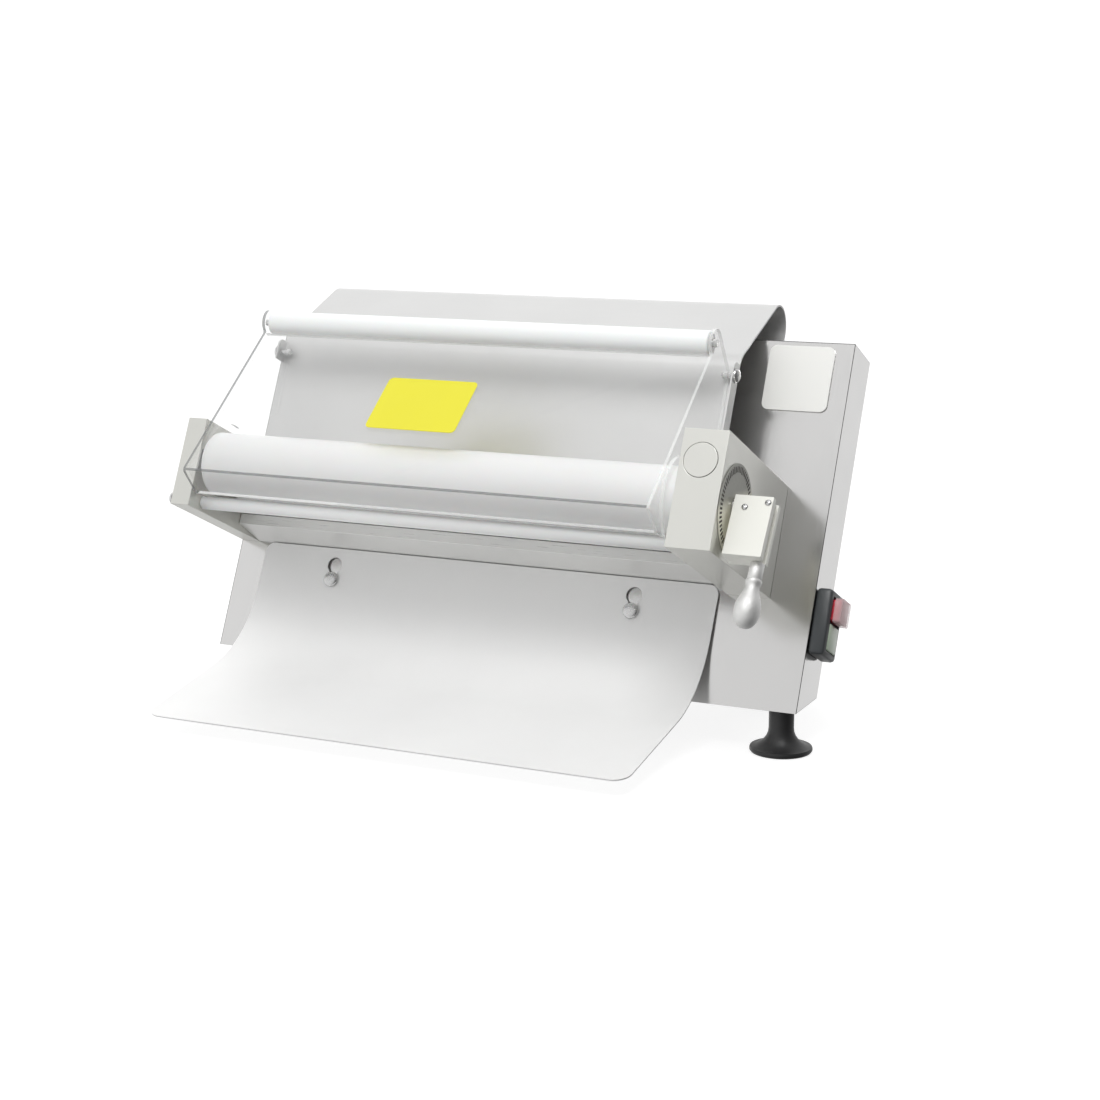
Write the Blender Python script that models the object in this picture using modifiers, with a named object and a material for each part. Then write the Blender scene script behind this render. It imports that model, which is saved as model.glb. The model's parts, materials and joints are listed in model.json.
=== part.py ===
"""Countertop dough sheeter, one pair of rollers, as an assembly of separate pieces.

Metres, +Z up. The front panel leans back by TILT, and most pieces are placed in the panel's own
frame: x to the right, u forward from the panel's face, v up along it from its lower edge.
The origin is the middle of the floor under the machine's bounding box.
"""
import math

import bmesh
import bpy
from mathutils import Matrix, Vector

MODEL_NAME = "dough_sheeter"

# Driving dimensions -------------------------------------------------------------------------
TILT = math.radians(25.0)          # how far the panel leans back
PANEL_HALF = 0.280                 # half the housing's width
PANEL_HEIGHT = 0.320               # along the slope
SLAB_DEPTH = 0.0488                # square to the panel
SHEET = 0.0015                     # sheet-metal wall
FIT = 0.0003                       # gap between pieces that touch
FOOT_HEIGHT = 0.038

LEFT_ARM = (-PANEL_HALF, -0.261)   # x range of each arm
RIGHT_ARM = (0.204, 0.2417)
LEFT_ARM_REACH = 0.124
RIGHT_ARM_REACH = 0.157
LEFT_ARM_RISE = (0.1005, 0.1805)   # v range
RIGHT_ARM_RISE = (0.094, 0.191)

ROLLER_RADIUS = 0.028
ROLLER_X = (-0.250, 0.197)
ROLLER_SHAFT_RADIUS = 0.007
NIP_GAP = 0.0005                   # between the rollers with the lever down
NIP_TRAVEL = 0.004
FRONT_ROLLER = (0.108, 0.144)      # u, v of the axis
REAR_ROLLER = (FRONT_ROLLER[0] - 2 * ROLLER_RADIUS - NIP_GAP, FRONT_ROLLER[1])

CHUTE_X = (-0.250, 0.197)
CHUTE_U = 0.044                    # front face of the chute's steep part
CHUTE_LOW_V = 0.177
CHUTE_BEND_V = 0.288
CHUTE_BEND_RADIUS = 0.022
RAMP_TURN = math.radians(42.8)     # from the steep part to the ramp
RAMP_LENGTH = 0.094
CURL_RADIUS = 0.020
CURL_TAIL = 0.030
FLANGE_V = (0.205, 0.2815)         # the flanges that hold the guard's pivots
FLANGE_REACH = 0.056
FLANGE_CORNER = 0.006
PIVOT_SHANK_RADIUS = 0.0028
PIVOT_HEAD_RADIUS = 0.0062
STANDOFF_X = (-0.200, 0.147)
STANDOFF_V = 0.240
STANDOFF_RADIUS = 0.006

GUARD_X = (-0.2435, 0.1905)
GUARD_WALL = 0.003
GUARD_PIVOT = (0.050, 0.270)
GUARD_TOP = (0.093, 0.273)         # top edge of the clear front sheet
GUARD_CORNER = (0.169, 0.121)      # where the front sheet turns under
GUARD_LIP = 0.030
GUARD_ROLLER = (0.087, 0.285)
GUARD_ROLLER_RADIUS = 0.0105
EAR_RADIUS = 0.012
PIVOT_CORNER_RADIUS = 0.005

LOWER_ROD = (0.102, 0.1092)
LOWER_ROD_RADIUS = 0.006

TRAY_X = (-0.250, 0.197)
TRAY_SHEET = 0.0012
TRAY_TOP = (0.0025, 0.1002)
TRAY_BEND_START = (0.004, 0.058)
TRAY_BEND_RADIUS = 0.102
TRAY_BEND_ANGLE = math.radians(54.5)
TRAY_RUN = 0.1085
TRAY_TOP_CORNER = 0.009
TRAY_FRONT_CORNER = 0.014
TRAY_PIN_X = (-0.1744, 0.1218)
TRAY_PIN_V = 0.0706
KEYHOLE_PITCH = 0.014
PIN_HEAD_RADIUS = 0.0071

DIAL_AXIS = (0.1185, 0.1367)
DIAL_RADIUS = 0.0375
DIAL_PLATE = 0.0008
HUB_X = (0.2431, 0.2457)
HUB_RADIUS = 0.012
LEVER_TILT = math.radians(9.7)     # how far the lever leans back from the panel's own slope
BLOCK_X = (0.246, 0.278)
BLOCK_DEPTH = (-0.0034, 0.0166)    # forward of the lever's axis
BLOCK_RISE = (-0.044, 0.0072)
STEM_X = 0.272
STEM_FORWARD = 0.003
STEM_RADIUS = 0.00575

CASING_HALF = 0.226                # rear motor casing
CASING_BACK = 0.200
CASING_TOP = 0.165
CASING_WALL = 0.0012
MOTOR_AXIS = (0.128, 0.072)        # y, z in the level frame
MOTOR_SHAFT = (0.110, 0.088)
SPROCKET_RADIUS = 0.020
CHAIN_X = (0.2185, 0.2235)
GEAR_X = (0.2080, 0.2145)

SWITCH_X = (PANEL_HALF + FIT, 0.294)
SWITCH_U = (-0.038, -0.001)
SWITCH_V = (0.052, 0.108)
STOP_V = 0.0915
START_V = 0.0685
BUTTON_U = -0.020
CAP_FRONT_X = 0.302

BOLT_HEAD = 0.0050
BOLT_RADIUS = 0.006

GLAND_NOSE = 0.018                 # how far the mains inlet stands out of the rear wall

FOOT_X = 0.262
FOOT_Y = 0.0165
REAR_FOOT_X = 0.195
REAR_FOOT_Y = 0.165
FOOT_RADIUS = 0.0262
FOOT_STEM_RADIUS = 0.0105

# The bounding box runs from the left foot to the stop button's cap, and from the tray's front
# edge to the mains inlet, so its middle follows from the dimensions above.
LEFT_LIMIT = -(FOOT_X + FOOT_RADIUS)
CENTRE_X = (LEFT_LIMIT + CAP_FRONT_X) / 2


def level(u, v):
    """The level (y, z) of a point given by u and v in the panel's frame."""
    return v * math.sin(TILT) - u * math.cos(TILT), v * math.cos(TILT) + u * math.sin(TILT)


def sloped(y, z):
    """The panel's (u, v) of a level point, the other way round."""
    return z * math.sin(TILT) - y * math.cos(TILT), z * math.cos(TILT) + y * math.sin(TILT)


def tray_profile():
    """The tray's front face, from its top edge down to its front edge, as (u, v) points."""
    centre = (TRAY_BEND_START[0] + TRAY_BEND_RADIUS, TRAY_BEND_START[1])
    steps = 14
    points = [TRAY_TOP]
    for step in range(steps + 1):
        angle = TRAY_BEND_ANGLE * step / steps
        points.append((centre[0] - TRAY_BEND_RADIUS * math.cos(angle),
                       centre[1] - TRAY_BEND_RADIUS * math.sin(angle)))
    end_u, end_v = points[-1]
    points.append((end_u + TRAY_RUN * math.sin(TRAY_BEND_ANGLE),
                   end_v - TRAY_RUN * math.cos(TRAY_BEND_ANGLE)))
    return points


CENTRE_Y = (level(*tray_profile()[-1])[0] + CASING_BACK + GLAND_NOSE) / 2

# Materials: colour, roughness, metallic --------------------------------------------------------
FINISHES = {
    "brushed_steel": ((0.62, 0.62, 0.61), 0.35, 1.0),
    "satin_sheet": ((0.72, 0.72, 0.71), 0.45, 0.9),
    "machined_steel": ((0.55, 0.55, 0.56), 0.30, 1.0),
    "cast_aluminium": ((0.60, 0.60, 0.60), 0.50, 0.9),
    "cream_enamel": ((0.80, 0.80, 0.74), 0.45, 0.0),
    "white_plastic": ((0.90, 0.90, 0.89), 0.40, 0.0),
    "clear_plastic": ((0.85, 0.88, 0.88), 0.08, 0.0),
    "black_rubber": ((0.03, 0.03, 0.03), 0.75, 0.0),
    "dark_plastic": ((0.07, 0.07, 0.08), 0.50, 0.0),
    "red_plastic": ((0.70, 0.08, 0.12), 0.35, 0.0),
    "green_plastic": ((0.55, 0.66, 0.50), 0.35, 0.0),
    "badge_plastic": ((0.86, 0.87, 0.82), 0.20, 0.0),
    "yellow_film": ((0.95, 0.90, 0.10), 0.40, 0.0),
    "motor_enamel": ((0.12, 0.14, 0.16), 0.50, 0.0),
}


# Scene set-up ----------------------------------------------------------------------------------
def clear_scene():
    """Remove every object of the open scene."""
    for old in list(bpy.data.objects):
        bpy.data.objects.remove(old, do_unlink=True)


def new_collection(name):
    """A collection linked to the scene."""
    collection = bpy.data.collections.new(name)
    bpy.context.scene.collection.children.link(collection)
    return collection


clear_scene()
PARTS = new_collection(MODEL_NAME)
CUTTERS = new_collection("cutters")


def new_frame(name, location, tilt=0.0, parent=None):
    """An empty that carries pieces; tilt leans its z axis backwards."""
    empty = bpy.data.objects.new(name, None)
    empty.location = location
    empty.rotation_euler = (-tilt, 0.0, 0.0)
    empty.parent = parent
    PARTS.objects.link(empty)
    return empty


BASE = new_frame("base_frame", (-CENTRE_X, -CENTRE_Y, FOOT_HEIGHT))
PANEL = new_frame("panel_frame", (0.0, 0.0, 0.0), TILT, BASE)
LEVER = new_frame("lever_frame", (0.0, -DIAL_AXIS[0], DIAL_AXIS[1]), LEVER_TILT, PANEL)


def finish(obj, finish_name):
    """Give the piece its own Principled material."""
    colour, roughness, metallic = FINISHES[finish_name]
    material = bpy.data.materials.new(obj.name + "_material")
    material.use_nodes = True
    shader = material.node_tree.nodes["Principled BSDF"]
    shader.inputs["Base Color"].default_value = (*colour, 1.0)
    shader.inputs["Roughness"].default_value = roughness
    shader.inputs["Metallic"].default_value = metallic
    obj.data.materials.clear()
    obj.data.materials.append(material)


def place(obj, frame, x=0.0, u=0.0, v=0.0, tilt=0.0):
    """Set a piece in a frame, at x, u and v of that frame."""
    obj.parent = frame
    obj.location = (x, -u, v)
    obj.rotation_euler = (-tilt, 0.0, 0.0)
    return obj


def piece(name, mesh, finish_name, smooth_angle=None):
    """A named piece of the machine from a finished mesh."""
    obj = bpy.data.objects.new(name, mesh)
    PARTS.objects.link(obj)
    finish(obj, finish_name)
    if smooth_angle is not None:
        mesh.shade_smooth()
        mesh.set_sharp_from_angle(angle=math.radians(smooth_angle))
    return obj


def cutter(name, mesh):
    """A hidden solid that a Boolean uses."""
    obj = bpy.data.objects.new(name, mesh)
    CUTTERS.objects.link(obj)
    obj.hide_render = True
    obj.display_type = "WIRE"
    return obj


def boolean(obj, other, operation="DIFFERENCE"):
    """Cut or join another solid, with the exact solver."""
    modifier = obj.modifiers.new(operation.lower() + "_" + other.name, "BOOLEAN")
    modifier.operation = operation
    modifier.solver = "EXACT"
    modifier.object = other


def bevel(obj, width, segments=2):
    """Round the piece's sharp edges."""
    modifier = obj.modifiers.new("bevel", "BEVEL")
    modifier.width = width
    modifier.segments = segments
    modifier.limit_method = "ANGLE"
    modifier.angle_limit = math.radians(40.0)


BEHIND = -1.0                      # against the surface's normals
AHEAD = 1.0


def solidify(obj, thickness, offset=BEHIND):
    """Give an open surface its thickness, against its normals by default."""
    modifier = obj.modifiers.new("wall", "SOLIDIFY")
    modifier.thickness = thickness
    modifier.offset = offset
    modifier.use_even_offset = True


# Mesh builders ---------------------------------------------------------------------------------
def mesh_from(bm, name):
    """Store a bmesh as a named mesh."""
    mesh = bpy.data.meshes.new(name)
    bmesh.ops.recalc_face_normals(bm, faces=bm.faces)
    bm.to_mesh(mesh)
    bm.free()
    return mesh


def add_box(bm, x_range, u_range, v_range):
    """Add a box given by its ranges in the panel's axes."""
    size = [x_range[1] - x_range[0], u_range[1] - u_range[0], v_range[1] - v_range[0]]
    centre = (sum(x_range) / 2, -sum(u_range) / 2, sum(v_range) / 2)
    matrix = Matrix.Translation(centre) @ Matrix.Diagonal((*size, 1.0))
    bmesh.ops.create_cube(bm, size=1.0, matrix=matrix)


def box_mesh(name, *ranges):
    """A mesh of one box for each (x range, u range, v range)."""
    bm = bmesh.new()
    for x_range, u_range, v_range in ranges:
        add_box(bm, x_range, u_range, v_range)
    return mesh_from(bm, name)


def rod_mesh(name, radius, x_range, segments=32, bore=None):
    """A rod or a tube along x, about the local origin."""
    outline = circle(radius, segments=segments)
    holes = [circle(bore, segments=segments)] if bore else []
    return plate_mesh(name, outline, x_range, holes)


def turned_mesh(name, profile, segments=32):
    """A solid turned about z from (radius, z) points that run down its outer side."""
    bm = bmesh.new()
    vertices = [bm.verts.new((radius, 0.0, z)) for radius, z in profile]
    for first, second in zip(vertices, vertices[1:]):
        bm.edges.new((first, second))
    mesh = bpy.data.meshes.new(name)
    bm.to_mesh(mesh)
    bm.free()
    helper = bpy.data.objects.new(name + "_profile", mesh)
    CUTTERS.objects.link(helper)
    screw = helper.modifiers.new("turn", "SCREW")
    screw.axis = "Z"
    screw.steps = segments
    screw.render_steps = segments
    screw.use_merge_vertices = True
    screw.merge_threshold = 0.00001
    return evaluated_mesh(helper, name)


def evaluated_mesh(helper, name, turn=None):
    """The helper's evaluated mesh, welded and facing out; the helper itself is removed."""
    bpy.context.view_layer.update()
    depsgraph = bpy.context.evaluated_depsgraph_get()
    mesh = bpy.data.meshes.new_from_object(helper.evaluated_get(depsgraph))
    bm = bmesh.new()
    bm.from_mesh(mesh)
    bmesh.ops.remove_doubles(bm, verts=bm.verts, dist=0.00001)
    if turn is not None:
        bmesh.ops.transform(bm, matrix=turn, verts=bm.verts)
    bpy.data.meshes.remove(mesh)
    bpy.data.objects.remove(helper, do_unlink=True)
    return mesh_from(bm, name)


# A flat outline is drawn in (u, v) and given its thickness along x.
OUTLINE_TO_X = Matrix(((0, 0, 1, 0), (-1, 0, 0, 0), (0, 1, 0, 0), (0, 0, 0, 1)))


def outline_object(name, outlines, thickness):
    """A filled 2D curve of one or more closed outlines with a thickness about its plane."""
    curve = bpy.data.curves.new(name, "CURVE")
    curve.dimensions = "2D"
    curve.fill_mode = "BOTH"
    curve.extrude = thickness / 2
    for outline in outlines:
        spline = curve.splines.new("POLY")
        spline.points.add(len(outline) - 1)
        for point, (a, b) in zip(spline.points, outline):
            point.co = (a, b, 0.0, 1.0)
        spline.use_cyclic_u = True
    helper = bpy.data.objects.new(name + "_outline", curve)
    CUTTERS.objects.link(helper)
    return helper


def plate_mesh(name, outline, x_range, holes=()):
    """A plate with the given (u, v) outline and holes, between two x values."""
    helper = outline_object(name, [outline, *holes], x_range[1] - x_range[0])
    turn = Matrix.Translation((sum(x_range) / 2, 0.0, 0.0)) @ OUTLINE_TO_X
    return evaluated_mesh(helper, name, turn)


def face_plate_mesh(name, outline, u_range, holes=()):
    """A plate lying on the panel: an (x, v) outline with its thickness along u."""
    helper = outline_object(name, [outline, *holes], u_range[1] - u_range[0])
    turn = Matrix.Translation((0.0, -sum(u_range) / 2, 0.0)) @ Matrix.Rotation(math.pi / 2, 4, "X")
    return evaluated_mesh(helper, name, turn)


def ribbon_mesh(name, rows):
    """An open strip through (left x, right x, u, v) rows; its normals point left of the walk."""
    bm = bmesh.new()
    left, right, u, v = rows[0]
    edge = bm.edges.new((bm.verts.new((left, -u, v)), bm.verts.new((right, -u, v))))
    for left, right, u, v in rows[1:]:
        made = bmesh.ops.extrude_edge_only(bm, edges=[edge])["geom"]
        ends = sorted((item for item in made if isinstance(item, bmesh.types.BMVert)),
                      key=lambda vertex: vertex.co.x)
        ends[0].co = (left, -u, v)
        ends[1].co = (right, -u, v)
        edge = bm.edges.get(ends)
    bmesh.ops.recalc_face_normals(bm, faces=bm.faces)
    bm.faces.ensure_lookup_table()
    bm.normal_update()
    left_of_walk = Vector((0.0, rows[1][3] - rows[0][3], rows[1][2] - rows[0][2]))
    if bm.faces[0].normal.dot(left_of_walk) < 0.0:
        bmesh.ops.reverse_faces(bm, faces=bm.faces)
    mesh = bpy.data.meshes.new(name)
    bm.to_mesh(mesh)
    bm.free()
    return mesh


# Outlines --------------------------------------------------------------------------------------
def circle(radius, centre=(0.0, 0.0), segments=32):
    """Points of a circle."""
    return arc(centre, radius, 0.0, 2 * math.pi, segments)[:-1]


def arc(centre, radius, start, end, steps):
    """Points of an arc from one angle to another, both ends included."""
    points = []
    for step in range(steps + 1):
        angle = start + (end - start) * step / steps
        points.append((centre[0] + radius * math.cos(angle), centre[1] + radius * math.sin(angle)))
    return points


def rounded_rectangle(centre, width, height, radius, steps=4):
    """A rectangle with round corners."""
    points = []
    quarter = math.pi / 2
    for index, (sign_a, sign_b) in enumerate(((1, 1), (-1, 1), (-1, -1), (1, -1))):
        corner = (centre[0] + sign_a * (width / 2 - radius), centre[1] + sign_b * (height / 2 - radius))
        points += arc(corner, radius, index * quarter, (index + 1) * quarter, steps)
    return points


TIP_SHARE = 0.55                   # a tooth's width at its tip, as a share of its root


def gear_outline(teeth, root_radius, tip_radius, tooth_share, phase):
    """Straight-flanked teeth; tooth_share is how much of the pitch a tooth takes at its root."""
    points = []
    pitch = 2 * math.pi / teeth
    for tooth in range(teeth):
        middle = phase + tooth * pitch
        for side, radius, share in ((-1, root_radius, 1.0), (-1, tip_radius, TIP_SHARE),
                                    (1, tip_radius, TIP_SHARE), (1, root_radius, 1.0)):
            angle = middle + side * share * tooth_share * pitch / 2
            points.append((radius * math.cos(angle), radius * math.sin(angle)))
    return points


def belt_outline(centre_a, centre_b, radius, steps=12):
    """The loop around two equal wheels."""
    direction = math.atan2(centre_b[1] - centre_a[1], centre_b[0] - centre_a[0])
    quarter = math.pi / 2
    points = arc(centre_b, radius, direction - quarter, direction + quarter, steps)
    points += arc(centre_a, radius, direction + quarter, direction + 3 * quarter, steps)
    return points


def moved(points, origin):
    """The same outline measured from another origin."""
    return [(a - origin[0], b - origin[1]) for a, b in points]


# Housing ---------------------------------------------------------------------------------------
THROUGH_WALL = 0.004               # how far a cutter stands out on each side of a wall
DRIVE_WINDOW_X = (0.2075, 0.2385)  # behind the right arm, for the chain
DRIVE_WINDOW_V = (0.106, 0.170)
REAR_PLATE_LOW = 0.0262            # above the housing's sloping bottom
REAR_WINDOW_X = (-0.205, 0.2245)   # from the housing into the motor casing
REAR_WINDOW_V = (0.050, 0.162)
LOUVRE_ROWS = 5
LOUVRE_LOW = 0.060
LOUVRE_PITCH = 0.014
LOUVRE_HEIGHT = 0.004
LOUVRE_MIDDLE = 0.085              # of each column, from the casing's middle
LOUVRE_HALF = 0.040
BASE_PLATE = 0.002


def housing_shell():
    """Front panel, top, sides and bottom, folded from one sheet and open at the back."""
    bm = bmesh.new()
    add_box(bm, (-PANEL_HALF, PANEL_HALF), (-SLAB_DEPTH, 0.0), (0.0, PANEL_HEIGHT))
    for vertex in bm.verts:
        if vertex.co.y > SLAB_DEPTH / 2 and vertex.co.z < PANEL_HEIGHT / 2:
            vertex.co.z = SLAB_DEPTH * math.tan(TILT)
    back = [face for face in bm.faces if face.normal.y > 0.99]
    bmesh.ops.delete(bm, geom=back, context="FACES_ONLY")
    shell = place(piece("housing_shell", mesh_from(bm, "housing_shell"), "brushed_steel"), PANEL)
    solidify(shell, SHEET)
    depth = (-THROUGH_WALL, THROUGH_WALL)
    window = box_mesh("drive_window", (DRIVE_WINDOW_X, depth, DRIVE_WINDOW_V))
    boolean(shell, place(cutter("drive_window", window), PANEL))


def rear_plate():
    """Closes the housing's back and opens into the motor casing."""
    back_u = (-SLAB_DEPTH + FIT, -SLAB_DEPTH + FIT + SHEET)
    inner = PANEL_HALF - SHEET - FIT
    mesh = box_mesh("rear_plate", ((-inner, inner), back_u, (REAR_PLATE_LOW, PANEL_HEIGHT - SHEET - FIT)))
    plate = place(piece("rear_plate", mesh, "brushed_steel"), PANEL)
    depth = (back_u[0] - THROUGH_WALL, back_u[1] + THROUGH_WALL)
    window = box_mesh("rear_window", (REAR_WINDOW_X, depth, REAR_WINDOW_V))
    boolean(plate, place(cutter("rear_window", window), PANEL))


def motor_casing():
    """Rear casing over the gearmotor, with louvres and a hole for the cable gland."""
    bm = bmesh.new()
    add_box(bm, (-CASING_HALF, CASING_HALF), (-CASING_BACK, 0.0), (0.0, CASING_TOP))
    for vertex in bm.verts:
        if vertex.co.y < CASING_BACK / 2:
            vertex.co.y = slab_back(vertex.co.z) + FIT
    open_faces = [face for face in bm.faces if face.normal.y < -0.5 or face.normal.z < -0.5]
    bmesh.ops.delete(bm, geom=open_faces, context="FACES_ONLY")
    casing = place(piece("motor_casing", mesh_from(bm, "motor_casing"), "brushed_steel"), BASE)
    solidify(casing, CASING_WALL)
    slots = []
    depth = (-CASING_BACK - THROUGH_WALL, -CASING_BACK + THROUGH_WALL)
    for middle in (-LOUVRE_MIDDLE, LOUVRE_MIDDLE):
        for row in range(LOUVRE_ROWS):
            low = LOUVRE_LOW + row * LOUVRE_PITCH
            slots.append(((middle - LOUVRE_HALF, middle + LOUVRE_HALF), depth, (low, low + LOUVRE_HEIGHT)))
    boolean(casing, place(cutter("louvres", box_mesh("louvres", *slots)), BASE))
    hole = rod_mesh("gland_hole", GLAND_SHANK + FIT, (-THROUGH_WALL, THROUGH_WALL), 24)
    hole_cutter = place(cutter("gland_hole", hole), BASE, GLAND_AT[0], -CASING_BACK, GLAND_AT[1])
    hole_cutter.rotation_euler = (0.0, 0.0, math.pi / 2)
    boolean(casing, hole_cutter)


def slab_back(z):
    """Level y of the housing's back face at height z."""
    return SLAB_DEPTH / math.cos(TILT) + z * math.tan(TILT)


def base_plate():
    """Bottom plate of the rear casing; it carries the motor bracket and the rear feet."""
    side = CASING_HALF - CASING_WALL - FIT
    depth = (-(CASING_BACK - CASING_WALL - FIT), -(slab_back(BASE_PLATE) + FIT))
    mesh = box_mesh("base_plate", ((-side, side), depth, (0.0, BASE_PLATE)))
    place(piece("base_plate", mesh, "brushed_steel"), BASE)


def feet():
    """Four rubber feet: a stem that flares into a round pad."""
    height = FOOT_HEIGHT - FIT
    profile = [(0.0, height), (FOOT_STEM_RADIUS, height), (FOOT_STEM_RADIUS, 0.0205), (0.0125, 0.0160),
               (0.0170, 0.0115), (0.0235, 0.0075), (FOOT_RADIUS, 0.0050), (FOOT_RADIUS, 0.0018),
               (0.0240, 0.0), (0.0, 0.0)]
    spots = {"foot_front_left": (-FOOT_X, FOOT_Y), "foot_front_right": (FOOT_X, FOOT_Y),
             "foot_rear_left": (-REAR_FOOT_X, REAR_FOOT_Y), "foot_rear_right": (REAR_FOOT_X, REAR_FOOT_Y)}
    for name, (x, y) in spots.items():
        mesh = turned_mesh(name, profile, 32)
        place(piece(name, mesh, "black_rubber", 35), BASE, x, -y, -FOOT_HEIGHT)


GLAND_SHANK = 0.008
GLAND_BORE = 0.004
GLAND_FLANGE = 0.0120
GLAND_NUT = 0.0095
GLAND_AT = (-0.180, 0.035)         # x and z of the mains inlet


def cable_gland():
    """Mains inlet in the rear wall, with an open bore for the cable."""
    profile = [(GLAND_BORE, GLAND_NOSE), (0.0075, GLAND_NOSE), (GLAND_NUT, 0.012), (GLAND_NUT, 0.0075),
               (GLAND_FLANGE, 0.0075), (GLAND_FLANGE, FIT), (GLAND_SHANK, FIT), (GLAND_SHANK, -0.010),
               (GLAND_BORE, -0.010), (GLAND_BORE, GLAND_NOSE)]
    gland = place(piece("cable_gland", turned_mesh("cable_gland", profile, 24), "dark_plastic", 35),
                  BASE, GLAND_AT[0], -CASING_BACK, GLAND_AT[1])
    gland.rotation_euler = (-math.pi / 2, 0.0, 0.0)


# Arms ------------------------------------------------------------------------------------------
def arm_shell(name, x_range, reach, rise):
    """A folded arm casing, closed in front and open towards the panel."""
    bm = bmesh.new()
    add_box(bm, x_range, (FIT, reach), rise)
    back = [face for face in bm.faces if face.normal.y > 0.99]
    bmesh.ops.delete(bm, geom=back, context="FACES_ONLY")
    shell = place(piece(name, mesh_from(bm, name), "cream_enamel"), PANEL)
    solidify(shell, SHEET)
    return shell


BUSH_RADIUS = 0.009
BLOCK_HALF = 0.009
BEARING_BACK = 0.0035              # how far a bearing reaches into the arm
BEARING_PROUD = 0.0040             # and how far it stands out towards the roller


def shaft_openings(arm, name, wall_x):
    """A round hole for the rear bush and a slot for the front bearing block to slide in."""
    reach = (wall_x - THROUGH_WALL, wall_x + THROUGH_WALL)
    hole = cutter(name + "_bush_hole", rod_mesh(name + "_bush_hole", BUSH_RADIUS + FIT, reach, 32))
    boolean(arm, place(hole, PANEL, 0.0, *REAR_ROLLER))
    half = BLOCK_HALF + FIT
    slot = box_mesh(name + "_slot", (reach, (-half, half + NIP_TRAVEL), (-half, half)))
    boolean(arm, place(cutter(name + "_slot", slot), PANEL, 0.0, *FRONT_ROLLER))


LEFT_BOLT = (0.118, 0.107)
PLUG_X = 0.2216
PLUG_V = 0.1658
PLUG_RADIUS = 0.0144
PLUG_DEPTH = 0.004


def left_arm():
    """Left arm casing and the dome bolt on its outer side."""
    arm = arm_shell("left_arm_casing", LEFT_ARM, LEFT_ARM_REACH, LEFT_ARM_RISE)
    shaft_openings(arm, "left_arm", LEFT_ARM[1])
    dome = [(0.0, BOLT_HEAD), (0.0028, 0.0047), (0.0048, 0.0038), (BOLT_RADIUS, 0.0022),
            (BOLT_RADIUS, FIT), (0.0, FIT)]
    bolt = piece("left_arm_bolt", turned_mesh("left_arm_bolt", dome, 24), "machined_steel", 50)
    place(bolt, PANEL, LEFT_ARM[0], *LEFT_BOLT)
    bolt.rotation_euler = (0.0, -math.pi / 2, 0.0)


def right_arm():
    """Right arm casing with the spindle hole, and the plug that closes its front hole."""
    arm = arm_shell("right_arm_casing", RIGHT_ARM, RIGHT_ARM_REACH, RIGHT_ARM_RISE)
    shaft_openings(arm, "right_arm", RIGHT_ARM[0])
    outer = (RIGHT_ARM[1] - THROUGH_WALL, RIGHT_ARM[1] + THROUGH_WALL)
    hole = cutter("spindle_hole", rod_mesh("spindle_hole", SPINDLE_RADIUS + FIT, outer, 24))
    boolean(arm, place(hole, PANEL, 0.0, *DIAL_AXIS))
    depth = (RIGHT_ARM_REACH - THROUGH_WALL, RIGHT_ARM_REACH + THROUGH_WALL)
    access = face_plate_mesh("plug_hole", circle(PLUG_RADIUS, (PLUG_X, PLUG_V), 40), depth)
    boolean(arm, place(cutter("plug_hole", access), PANEL))
    disc = circle(PLUG_RADIUS - FIT, (PLUG_X, PLUG_V), 40)
    face = (RIGHT_ARM_REACH - PLUG_DEPTH, RIGHT_ARM_REACH + FIT)
    plug = piece("arm_plug", face_plate_mesh("arm_plug", disc, face), "cream_enamel", 35)
    place(plug, PANEL)


# Rollers and drive -----------------------------------------------------------------------------
GEAR_TEETH = 20
TOOTH_BELOW_PITCH = 0.0036
TOOTH_ABOVE_PITCH = 0.0022
TOOTH_SHARE = 0.40                 # of the pitch, at the root
SHAFT_LEFT = -0.266
REAR_SHAFT_RIGHT = 0.226           # this one carries the sprocket
FRONT_SHAFT_RIGHT = 0.2165
SLEEVE_EDGE = 0.002                # rounding at a sleeve's ends
SLEEVE_EDGE_MIDDLE = 0.0006


def roller(prefix, axis, shaft_right, gear_phase):
    """A white roller sleeve on its steel shaft, with the gear that pairs it to the other."""
    length = ROLLER_X[1] - ROLLER_X[0]
    bore = ROLLER_SHAFT_RADIUS + FIT
    end = ROLLER_RADIUS - SLEEVE_EDGE
    middle = ROLLER_RADIUS - SLEEVE_EDGE_MIDDLE
    profile = [(bore, length), (end, length), (middle, length - SLEEVE_EDGE_MIDDLE),
               (ROLLER_RADIUS, length - SLEEVE_EDGE), (ROLLER_RADIUS, SLEEVE_EDGE),
               (middle, SLEEVE_EDGE_MIDDLE), (end, 0.0), (bore, 0.0), (bore, length)]
    sleeve = piece(prefix + "_roller", turned_mesh(prefix + "_roller", profile, 48), "white_plastic", 50)
    place(sleeve, PANEL, ROLLER_X[0], *axis)
    sleeve.rotation_euler = (0.0, math.pi / 2, 0.0)
    shaft = rod_mesh(prefix + "_roller_shaft", ROLLER_SHAFT_RADIUS, (SHAFT_LEFT, shaft_right), 24)
    place(piece(prefix + "_roller_shaft", shaft, "machined_steel", 50), PANEL, 0.0, *axis)
    pitch_radius = (FRONT_ROLLER[0] - REAR_ROLLER[0]) / 2
    teeth = gear_outline(GEAR_TEETH, pitch_radius - TOOTH_BELOW_PITCH, pitch_radius + TOOTH_ABOVE_PITCH,
                         TOOTH_SHARE, gear_phase)
    gear = plate_mesh(prefix + "_roller_gear", teeth, GEAR_X, [circle(bore, segments=24)])
    place(piece(prefix + "_roller_gear", gear, "machined_steel"), PANEL, 0.0, *axis)


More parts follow.
